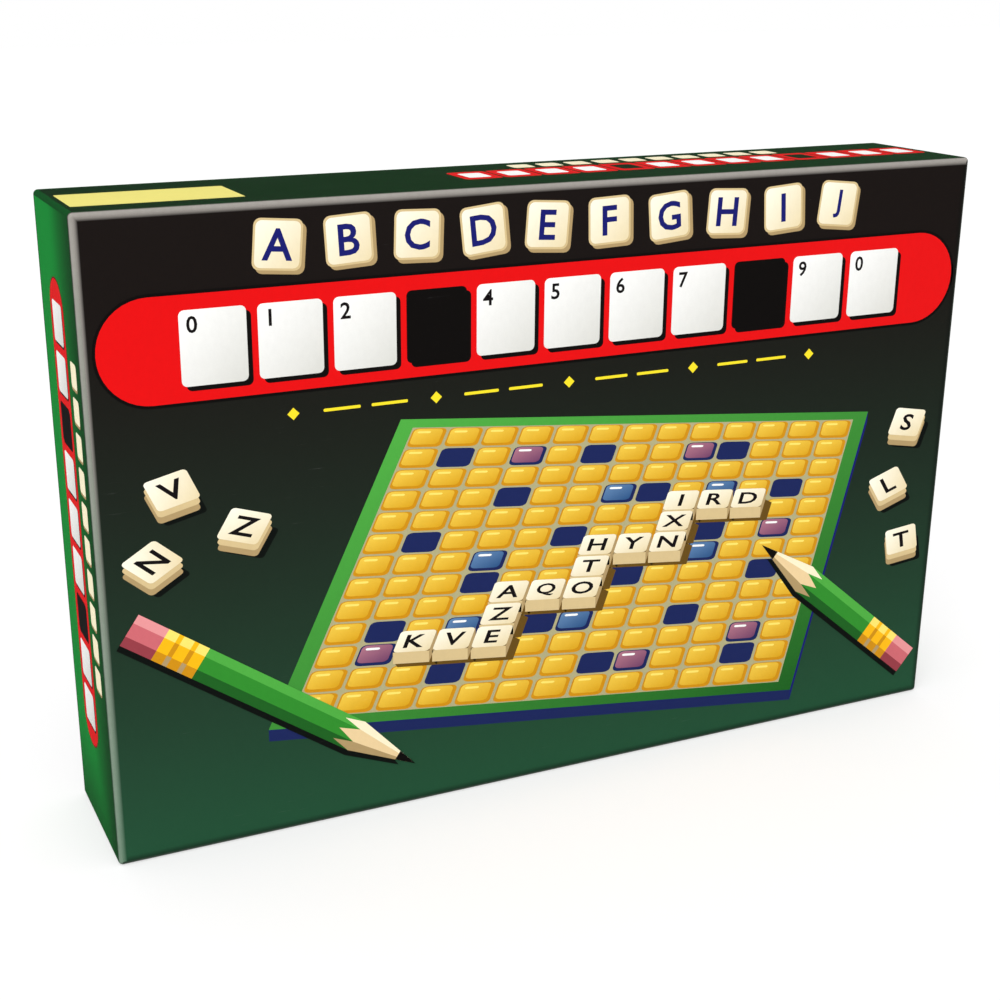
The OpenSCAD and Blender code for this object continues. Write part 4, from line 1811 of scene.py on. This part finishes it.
class GeometryBench(ShaderBench):
    """Builds one geometry tree and runs it."""

    def __init__(self, name: str, inputs: dict[str, str]) -> None:
        """Starts a tree that takes and gives geometry.

        Args:
            name: Name of the tree.
            inputs: Socket type of each further input.
        """
        super().__init__(bpy.data.node_groups.new(name, "GeometryNodeTree"))
        sockets = self.tree.interface
        sockets.new_socket("Geometry", in_out="INPUT", socket_type="NodeSocketGeometry")
        for label, kind in inputs.items():
            sockets.new_socket(label, in_out="INPUT", socket_type=kind)
        sockets.new_socket("Geometry", in_out="OUTPUT", socket_type="NodeSocketGeometry")
        self.given = self.add("NodeGroupInput").outputs
        self.result = self.add("NodeGroupOutput").inputs

    def copies(self, pattern: NodeSocket, points: NodeSocket) -> Node:
        """Sets a copy of an object on each point.

        Args:
            pattern: Object to copy.
            points: Geometry whose points take the copies.

        Returns:
            The node that makes the copies.
        """
        info = self.add("GeometryNodeObjectInfo")
        onto = self.add("GeometryNodeInstanceOnPoints")
        self.join(pattern, info.inputs[0])
        self.join(points, onto.inputs["Points"])
        self.join(info.outputs["Geometry"], onto.inputs["Instance"])
        return onto

    def close(self, geometry: NodeSocket) -> None:
        """Realizes the instances, sets the given finish and ends the tree.

        Args:
            geometry: What the tree has made.
        """
        real = self.add("GeometryNodeRealizeInstances")
        coat = self.add("GeometryNodeSetMaterial")
        self.join(geometry, real.inputs[0])
        self.join(real.outputs[0], coat.inputs["Geometry"])
        self.join(self.given["Finish"], coat.inputs["Material"])
        self.join(coat.outputs[0], self.result[0])

    def run(self, name: str, base: Mesh, values: dict[str, object]) -> Mesh:
        """Runs the tree on a mesh and keeps the result as a plain mesh.

        Args:
            name: Name of the result.
            base: Mesh that goes in.
            values: Values of the tree's named inputs.

        Returns:
            The evaluated mesh.
        """
        holder = linked(name, base)
        modifier = holder.modifiers.new(name, "NODES")
        modifier.node_group = self.tree
        for item in self.tree.interface.items_tree:
            if item.item_type == "SOCKET" and item.in_out == "INPUT" and item.name in values:
                modifier[item.identifier] = values[item.name]
        mesh = evaluated(holder)
        holder.modifiers.remove(modifier)
        bpy.data.objects.remove(holder)
        return mesh


def drop_pattern(pattern: Object) -> None:
    """Removes a pattern object and its mesh once its copies are made.

    Args:
        pattern: The object.
    """
    mesh = pattern.data
    bpy.data.objects.remove(pattern)
    bpy.data.meshes.remove(mesh)


@dataclass
class LetterTiles:
    """Ivory tiles with a socket in the back: those clipped on the board and those in the tile tray."""

    plan: BoardPlan
    width: float = 9.4 * MM
    thick: float = 4.2 * MM
    corner: float = 0.9 * MM
    least_corner: float = 0.3 * MM
    corner_steps: int = 3
    crown: float = 0.5 * MM
    crown_break: float = 0.3
    foot: float = 0.25 * MM
    room: float = 2 * HAIR
    socket: float = 3.65 * MM
    socket_depth: float = 1.65 * MM
    socket_break: float = 0.15 * MM
    gap: float = 0.3 * MM
    columns: int = 7
    rows: int = 4
    layers: int = 3
    board_turn: float = 0.004
    tray_turn: float = 0.010
    board_seed: int = 3
    tray_seed: int = 10
    letter_height: float = 5.4 * MM
    store: str = "EKTARUONSIDHVLGAEPCYBWOXIFJE"

    def build(self) -> None:
        """Makes the tiles of each node with their letters."""
        self.tile = self.tile_object()
        self.bench = self.scatter_bench()
        spots = self.board_spots()
        self.place(spots, "board_tiles", "tiles_in_play", self.board_turn, self.board_seed)
        self.letter(spots, self.plan.letters, "board_tile_letters", "tiles_in_play")
        for layer in range(self.layers):
            node = f"tray_tiles_layer_{layer + 1}"
            spots = self.tray_spots(node)
            self.place(spots, node, "tile_set", self.tray_turn, self.tray_seed + layer)
        self.letter(spots, self.store, "tray_tile_letters", "tile_set")
        drop_pattern(self.tile)

    def tile_object(self) -> Object:
        """Makes one tile at the origin, its back at Y = 0 and its face towards -Y.

        Returns:
            The pattern tile.
        """
        def circle(radius: float, rise: float) -> list[Vector]:
            """Ring of the socket, with its points in step with the outline's."""
            points = disc((0.0, 0.0), radius, 4 * (self.corner_steps + 1))
            return [Vector((u, -rise, v)) for u, v in points]

        def outline(inset: float, rise: float) -> list[Vector]:
            """Ring of the tile's outside."""
            size, corner = self.width - 2 * inset, max(self.corner - inset, self.least_corner)
            return [Vector((u, -rise, v)) for u, v in rounded_loop(size, size, corner, self.corner_steps)]

        shoulder = self.crown_break * self.crown
        rings = [
            circle(self.socket, self.socket_depth),
            circle(self.socket, self.socket_break),
            circle(self.socket + self.socket_break, self.room),
            outline(self.foot, self.room),
            outline(0.0, self.foot),
            outline(0.0, self.thick - self.crown),
            outline(shoulder, self.thick - shoulder),
            outline(self.crown, self.thick),
        ]
        return bpy.data.objects.new("tile_pattern", lofted(rings))

    @staticmethod
    def scatter_bench() -> GeometryBench:
        """Makes the tree that sets a tile on every point, each turned a little.

        Returns:
            The tree's bench.
        """
        bench = GeometryBench("set_tiles", {
            "Tile": "NodeSocketObject", "Turn": "NodeSocketFloat", "Seed": "NodeSocketInt",
            "Finish": "NodeSocketMaterial",
        })
        swing = bench.add("FunctionNodeRandomValue", data_type="FLOAT")
        bench.join(bench.maths("MULTIPLY", bench.given["Turn"], -1.0), swing.inputs[2])
        bench.join(bench.given["Turn"], swing.inputs[3])
        bench.join(bench.given["Seed"], swing.inputs["Seed"])
        turn = bench.add("ShaderNodeCombineXYZ")
        bench.join(swing.outputs[1], turn.inputs["Y"])
        onto = bench.copies(bench.given["Tile"], bench.given["Geometry"])
        bench.join(turn.outputs[0], onto.inputs["Rotation"])
        bench.close(onto.outputs[0])
        return bench

    def place(self, spots: list[Vector], node: str, body: str, turn: float, seed: int) -> None:
        """Sets tiles on their spots and stands them for a node.

        Args:
            spots: Middle of each tile's back.
            node: Node that they stand for.
            body: Body that carries them.
            turn: Largest turn either way, in radians.
            seed: Seed of the turns.
        """
        points = bpy.data.meshes.new(node)
        points.from_pydata(spots, [], [])
        values = {"Tile": self.tile, "Turn": turn, "Seed": seed, "Finish": TILE_PLASTIC.material()}
        mesh = settled(self.bench.run(node, points, values))
        add_piece(f"{node}_moulded", mesh, TILE_PLASTIC, body, "tile_plastic", node)

    def board_spots(self) -> list[Vector]:
        """Finds the backs of the tiles on the board.

        Returns:
            Middle of each tile's back.
        """
        low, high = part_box("board_tiles")
        cells = self.plan.tile_cells()
        columns, rows = [column for column, _ in cells], [row for _, row in cells]
        pitch = (high[0] - low[0] - self.width) / (max(columns) - min(columns))
        left, foot = low[0] + self.width / 2, low[2] + self.width / 2
        places = [(left + (c - min(columns)) * pitch, foot + (r - min(rows)) * pitch) for c, r in cells]
        return [Vector((across, high[1], up)) for across, up in places]

    def tray_spots(self, node: str) -> list[Vector]:
        """Finds the backs of the tiles of one layer in the tile tray.

        Args:
            node: The layer's node.

        Returns:
            Middle of each tile's back.
        """
        low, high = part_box(node)
        pitch = self.width + self.gap
        left, foot = low[0] + self.width / 2, low[2] + self.width / 2
        cells = [(column, row) for row in range(self.rows) for column in range(self.columns)]
        return [Vector((left + column * pitch, high[1], foot + row * pitch)) for column, row in cells]

    def letter(self, spots: list[Vector], letters: str, name: str, body: str) -> None:
        """Marks each tile with a single letter.

        Args:
            spots: Middle of each tile's back.
            letters: One letter for each tile.
            name: Name of the piece.
            body: Body that carries the tiles.
        """
        sheet = InkSheet(Vector((0.0, spots[0].y - self.thick, 0.0)))
        for spot, letter in zip(spots, letters):
            sheet.glyph(letter, (spot.x, spot.z), self.letter_height, Shade.LETTER_BLACK, Ply.GROUND)
        add_piece(name, sheet.mesh(), MARKING, body, "tile_plastic")


@dataclass
class PlayingBoard:
    """Moulded frame, printed card and the clear sheet of domes."""

    plan: BoardPlan
    border: float = 5.0 * MM
    pitch: float = 10.0 * MM
    dot: float = 4.6 * MM
    dot_sides: int = 24
    ticks: int = 26
    tick: Point = (4.6 * MM, 3.4 * MM)
    tick_corner: float = 0.4 * MM
    tick_offset: float = 3.6 * MM
    dome_radius: float = 3.5 * MM
    dome_height: float = 1.5 * MM
    dome_rings: tuple[float, ...] = (1.0, 0.97, 0.85, 0.6, 0.3)
    sides: int = 16
    seam: float = 0.03 * MM
    print_room: float = 3 * HAIR
    soften: float = 0.25 * MM

    def build(self) -> None:
        """Makes the frame, the card's print and the domes."""
        low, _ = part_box("board_frame")
        self.start = (low[0] + self.border, low[2] + self.border)
        self.size = self.plan.cells * self.pitch
        self.end = (self.start[0] + self.size, self.start[1] + self.size)
        mesh = softened("board_frame", self.soften)
        add_piece("board_frame_moulded", mesh, FRAME_PLASTIC, "board", "frame_plastic", "board_frame")
        self.print_card()
        self.build_domes()

    def print_card(self) -> None:
        """Prints the card: border, field, a dot on every square and a column of ticks."""
        dress_node("board_card", LEAFLET_PAPER)
        low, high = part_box("board_card")
        sheet = InkSheet(Vector((0.0, low[1], 0.0)))
        sheet.shape(rectangle((low[0], low[2]), (high[0], high[2])), Shade.BORDER_GREEN, Ply.GROUND)
        sheet.shape(rectangle(self.start, self.end), Shade.FIELD_GREY, Ply.EDGE)
        left, foot = self.start
        for column in range(self.plan.cells):
            for row in range(self.plan.cells):
                centre = (left + (column + 0.5) * self.pitch, foot + (row + 0.5) * self.pitch)
                sheet.shape(disc(centre, self.dot, self.dot_sides), self.plan.dot(column, row), Ply.BODY)
        middle = (self.start[1] + self.end[1]) / 2
        for step, level in enumerate(spread(self.ticks, self.size / self.ticks, middle)):
            tick = block((self.end[0] + self.tick_offset, level), *self.tick, self.tick_corner)
            sheet.shape(tick, Shade.CREAM if step % 2 else Shade.FIELD_GREY, Ply.EDGE)
        add_piece("board_card_print", sheet.mesh(), BOARD_PRINT, "board", "board_print")

    def build_domes(self) -> None:
        """Makes the clear sheet: a dome in every square, a flat border, sides and a back."""
        low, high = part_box("dome_sheet")
        face = low[1] + self.dome_height
        back = high[1] - self.seam - self.print_room
        cell = self.cell_object(face)
        middle = (self.start[0] + self.size / 2, 0.0, self.start[1] + self.size / 2)
        values = {
            "Square": cell, "Squares": self.plan.cells, "Pitch": self.pitch, "Middle": middle,
            "Finish": CLEAR_PLASTIC.material(),
        }
        mesh = self.dome_bench().run("dome_sheet", self.sheet_surround(low, high, face, back), values)
        with reworked(mesh) as form:
            bmesh.ops.remove_doubles(form, verts=form.verts, dist=HAIR)
            bmesh.ops.recalc_face_normals(form, faces=form.faces)
        add_piece("dome_sheet_clear", settled(mesh), CLEAR_PLASTIC, "board", "clear_plastic", "dome_sheet")
        drop_pattern(cell)

    @staticmethod
    def dome_bench() -> GeometryBench:
        """Makes the tree that sets a square with its dome on every place of an upright grid.

        Returns:
            The tree's bench.
        """
        bench = GeometryBench("set_domes", {
            "Square": "NodeSocketObject", "Squares": "NodeSocketInt", "Pitch": "NodeSocketFloat",
            "Middle": "NodeSocketVector", "Finish": "NodeSocketMaterial",
        })
        steps = bench.maths("SUBTRACT", bench.given["Squares"], 1.0)
        span = bench.maths("MULTIPLY", steps, bench.given["Pitch"])
        grid = bench.add("GeometryNodeMeshGrid")
        for axis in ("X", "Y"):
            bench.join(span, grid.inputs[f"Size {axis}"])
            bench.join(bench.given["Squares"], grid.inputs[f"Vertices {axis}"])
        upright = bench.add("GeometryNodeTransform", {"Rotation": (math.pi / 2, 0.0, 0.0)})
        bench.join(grid.outputs["Mesh"], upright.inputs["Geometry"])
        bench.join(bench.given["Middle"], upright.inputs["Translation"])
        onto = bench.copies(bench.given["Square"], upright.outputs[0])
        both = bench.add("GeometryNodeJoinGeometry")
        bench.join(onto.outputs[0], both.inputs[0])
        bench.join(bench.given["Geometry"], both.inputs[0])
        bench.close(both.outputs[0])
        return bench

    @staticmethod
    def square_loop(low: Point, high: Point, per_side: int) -> list[Point]:
        """Points round a rectangle, the same number on each side.

        Args:
            low: Lower left corner.
            high: Upper right corner.
            per_side: Points on a side, with its first corner only.

        Returns:
            Points in order, anticlockwise from the lower left corner.
        """
        corners = rectangle(low, high)
        points = []
        for (x0, y0), (x1, y1) in zip(corners, corners[1:] + corners[:1]):
            for step in range(per_side):
                points.append((x0 + (x1 - x0) * step / per_side, y0 + (y1 - y0) * step / per_side))
        return points

    def cell_object(self, face: float) -> Object:
        """Makes one square of the sheet's face with its dome, at the level of the face.

        Args:
            face: Y of the sheet's face.

        Returns:
            The pattern object.
        """
        ball = (self.dome_radius ** 2 + self.dome_height ** 2) / (2 * self.dome_height)
        half = self.pitch / 2
        square = self.square_loop((-half, -half), (half, half), self.sides // 4)
        rings = [[Vector((u, face, v)) for u, v in square]]
        first = math.pi + math.pi / 4
        turns = [first + math.tau * n / self.sides for n in range(self.sides)]
        for share in self.dome_rings:
            radius = self.dome_radius * share
            level = face - math.sqrt(ball ** 2 - radius ** 2) + ball - self.dome_height
            rings.append([Vector((radius * math.cos(a), level, radius * math.sin(a))) for a in turns])
        return bpy.data.objects.new("dome_pattern", lofted(rings, open_start=True))

    def sheet_surround(self, low: Vector, high: Vector, face: float, back: float) -> Mesh:
        """Flat border round the domes, with the sheet's sides and back.

        Args:
            low: Lowest corner of the sheet.
            high: Highest corner of the sheet.
            face: Y of the sheet's face.
            back: Y of the sheet's back.

        Returns:
            The mesh, open where the domes go.
        """
        per_side = self.plan.cells * self.sides // 4
        inner = self.square_loop(self.start, self.end, per_side)
        outer = self.square_loop((low[0], low[2]), (high[0], high[2]), per_side)
        rows = ((inner, face), (outer, face), (outer, back))
        return lofted([[Vector((u, depth, v)) for u, v in loop] for loop, depth in rows], open_start=True)


@dataclass
class ScoreRacks:
    """Racks with their score scales, white strips and sliding pointers."""

    count: int = 4
    scores: tuple[str, ...] = ("hundreds", "tens", "units")
    soften: float = 0.35 * MM
    segments: int = 3
    pointer_soften: float = 0.2 * MM
    depth: float = 25.5 * MM
    height: float = 13.5 * MM
    lean_end: float = 11.8 * MM
    fall: float = 0.8 * MM
    slot_pitch: float = 22.0 * MM
    panel: Point = (19.4 * MM, 1.1 * MM)
    panel_corner: float = 0.3 * MM
    panel_offset: float = 1.75 * MM
    digits: int = 10
    digit_pitch: float = 1.7 * MM
    digit_height: float = 1.5 * MM
    scale_offset: float = 4.7 * MM
    tick: Point = (0.25 * MM, 0.9 * MM)
    tick_corner: float = 0.1 * MM

    def build(self) -> None:
        """Makes every rack with its markings and pointers."""
        for rack in (f"rack_{number + 1}" for number in range(self.count)):
            mesh = softened(rack, self.soften, self.segments)
            add_piece(f"{rack}_moulded", mesh, RACK_PLASTIC, rack, "rack_plastic", rack)
            self.mark(rack)
            dress_node(f"{rack}_slot_strip", STRIP_PLASTIC)
            for score in self.scores:
                node, body = f"{rack}_{score}_pointer", f"{rack}_{score}"
                mesh = softened(node, self.pointer_soften)
                add_piece(f"{node}_moulded", mesh, POINTER_PLASTIC, body, "pointer_plastic", node)

    def mark(self, rack: str) -> None:
        """Prints the digits behind each slot, a white line on each side of it and a tick for each digit.

        Args:
            rack: The rack's node and body.
        """
        low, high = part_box(rack)
        slope = Vector((0.0, self.fall, self.depth - self.lean_end)).normalized()
        face = high[1] - self.height + self.fall / 2
        middle = Vector(((low[0] + high[0]) / 2, face, low[2] + (self.depth + self.lean_end) / 2))
        sheet = InkSheet(middle, up=slope)
        for slot in spread(len(self.scores), self.slot_pitch, 0.0):
            for offset in (-self.panel_offset, self.panel_offset):
                panel = block((slot, offset), *self.panel, self.panel_corner)
                sheet.shape(panel, Shade.STRIP_WHITE, Ply.GROUND)
            for digit, across in enumerate(spread(self.digits, self.digit_pitch, slot)):
                spot = (across, self.scale_offset)
                sheet.glyph(str(digit), spot, self.digit_height, Shade.WHITE, Ply.GROUND)
                tick = block((across, -self.scale_offset), *self.tick, self.tick_corner, 1)
                sheet.shape(tick, Shade.WHITE, Ply.GROUND)
        add_piece(f"{rack}_scale", sheet.mesh(), MARKING, rack, "rack_plastic")


@dataclass
class FormedTrays:
    """Formed sheet trays and the leaflet that lies in them."""

    trays: tuple[tuple[str, str], ...] = (
        ("board_platform", "base"), ("rack_tray", "base"), ("tile_tray", "tile_set"),
    )
    soften: float = 0.35 * MM
    columns: int = 3
    gutter: float = 9.0 * MM
    lines: int = 30
    paragraph: int = 8
    head: float = 12.0 * MM
    line_pitch: float = 4.0 * MM
    line: float = 0.9 * MM
    line_corner: float = 0.2 * MM

    def build(self) -> None:
        """Makes the three trays and the leaflet."""
        for node, body in self.trays:
            mesh = softened(node, self.soften, shown_only=True)
            add_piece(f"{node}_formed", mesh, TRAY_SHEET, body, "tray_sheet", node)
        dress_node("rules_leaflet", LEAFLET_PAPER)
        self.print_leaflet()

    def print_leaflet(self) -> None:
        """Rules grey lines in columns of short paragraphs on the leaflet's face."""
        low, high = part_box("rules_leaflet")
        sheet = InkSheet(Vector((0.0, low[1], 0.0)))
        width = (high[0] - low[0]) / self.columns
        for middle in spread(self.columns, width, (low[0] + high[0]) / 2):
            for row in range(self.lines):
                if (row + 1) % self.paragraph:
                    centre = (middle, high[2] - self.head - self.line_pitch * row)
                    line = block(centre, width - self.gutter, self.line, self.line_corner, 1)
                    sheet.shape(line, Shade.PRINT_GREY, Ply.GROUND)
        add_piece("leaflet_print", sheet.mesh(), BOARD_PRINT, "leaflet", "leaflet_paper")


@dataclass
class Studio:
    """White floor, soft light and the camera at the photograph's angle."""

    camera_place: Spot = (-0.1998, -0.3936, 0.2250)
    yaw: float = 0.4249
    pitch: float = 0.3346
    lens: float = 57.9
    sensor: float = 36.0
    near: float = 0.01
    shift: Point = (0.038, 0.0156)
    ambient: float = 0.85
    mirrored: float = 0.10
    window_power: float = 5.0
    window_aim: Spot = (-0.35, -0.60, 0.72)
    window_edge: Point = (0.87, 0.94)
    floor_reach: float = 4.0
    floor_tone: float = 0.96
    shadow_lift: float = 0.5
    sky_power: float = 0.9
    sky_spread: float = math.radians(50.0)
    sky_place: Spot = (0.0, 0.0, 1.0)
    sky_aim: Spot = (0.25, 0.30, -0.92)
    key_power: float = 2.5
    key_size: float = 0.3
    key_place: Spot = (-0.75, -0.75, 1.0)
    key_target: Spot = (0.0, 0.0, 0.08)

    def build(self) -> None:
        """Sets up the view, the floor, the world and the lamps."""
        bpy.context.scene.view_settings.view_transform = "Standard"
        self.build_camera()
        self.build_floor()
        self.build_world()
        self.build_lamps()

    def build_camera(self) -> None:
        """Places the camera."""
        data = bpy.data.cameras.new("view")
        data.sensor_width = self.sensor
        data.sensor_fit = "HORIZONTAL"
        data.lens = self.lens
        data.shift_x, data.shift_y = self.shift
        data.clip_start = self.near
        camera = linked("view", data)
        camera.location = self.camera_place
        camera.rotation_euler = (math.pi / 2 - self.pitch, 0.0, -self.yaw)
        bpy.context.scene.camera = camera

    def build_floor(self) -> None:
        """Lays a pale floor that keeps the box's shadow, a little lifted for the camera."""
        corners = rectangle((-self.floor_reach, -self.floor_reach), (self.floor_reach, self.floor_reach))
        mesh = bpy.data.meshes.new("floor")
        mesh.from_pydata([(x, y, 0.0) for x, y in corners], [], [range(len(corners))])
        material = bpy.data.materials.new("floor")
        material.use_nodes = True
        bench = ShaderBench(material.node_tree)
        skin = material.node_tree.nodes["Principled BSDF"]
        tone = (self.floor_tone, self.floor_tone, self.floor_tone, 1.0)
        Finish.fix(skin, {"Base Color": tone, "Roughness": 1.0, "Specular IOR Level": 0.0})
        rays = bench.add("ShaderNodeLightPath")
        white = bench.add("ShaderNodeEmission", {"Strength": 1.0})
        seen = bench.maths("MULTIPLY", rays.outputs["Is Camera Ray"], self.shadow_lift)
        bench.surface(seen, skin.outputs[0], white.outputs[0])
        mesh.materials.append(material)
        floor = linked("floor", mesh)
        floor.visible_glossy = False
        floor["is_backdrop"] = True

    def build_world(self) -> None:
        """Lights the object softly on a white backdrop; gloss mirrors a dim room with one soft window."""
        world = bpy.data.worlds.new("studio")
        world.use_nodes = True
        bpy.context.scene.world = world
        bench = ShaderBench(world.node_tree)
        sky = world.node_tree.nodes["Background"]
        rays = bench.add("ShaderNodeLightPath").outputs
        seen = bench.maths("MAXIMUM", rays["Is Camera Ray"], rays["Is Transmission Ray"])
        aim = Vector(self.window_aim).normalized()
        toward = bench.add("ShaderNodeVectorMath", {1: aim}, operation="DOT_PRODUCT")
        bench.join(bench.add("ShaderNodeTexCoord").outputs["Generated"], toward.inputs[0])
        window = bench.ramp(toward.outputs["Value"], self.window_edge, (self.mirrored, self.window_power))
        soft = bench.ramp(rays["Is Glossy Ray"], (0.0, 1.0), (self.ambient, 0.0))
        lit = bench.maths("ADD", soft, bench.maths("MULTIPLY", rays["Is Glossy Ray"], window))
        sky.inputs["Color"].default_value = (1.0, 1.0, 1.0, 1.0)
        bench.join(bench.maths("MAXIMUM", lit, seen), sky.inputs["Strength"])
        world.cycles.sampling_method = "NONE"

    def build_lamps(self) -> None:
        """Adds a wide, weak light from above that keeps the floor white, and a soft square key lamp."""
        sky = bpy.data.lights.new("sky", "SUN")
        sky.energy = self.sky_power
        sky.angle = self.sky_spread
        key = bpy.data.lights.new("key", "AREA")
        key.energy = self.key_power
        key.size = self.key_size
        lamps = (
            (sky, self.sky_place, Vector(self.sky_aim)),
            (key, self.key_place, Vector(self.key_target) - Vector(self.key_place)),
        )
        for data, place, aim in lamps:
            lamp = linked(data.name, data)
            lamp.location = place
            lamp.rotation_euler = aim.to_track_quat("-Z", "Y").to_euler()


def main() -> None:
    """Builds the studio and every sub-assembly, and works out the bounds of the CAD parts and of the finished
    model.
    """
    logging.basicConfig(level=logging.INFO, format="%(message)s")
    plan = BoardPlan()
    for assembly in (Studio(), CardBox(), FormedTrays(), PlayingBoard(plan), LetterTiles(plan), ScoreRacks()):
        assembly.build()
    boxes = {"cad": CAD_BOX, "visual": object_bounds()}
    {name: [list(corner) for corner in box] for name, box in boxes.items()}


if __name__ == "__main__":
    main()
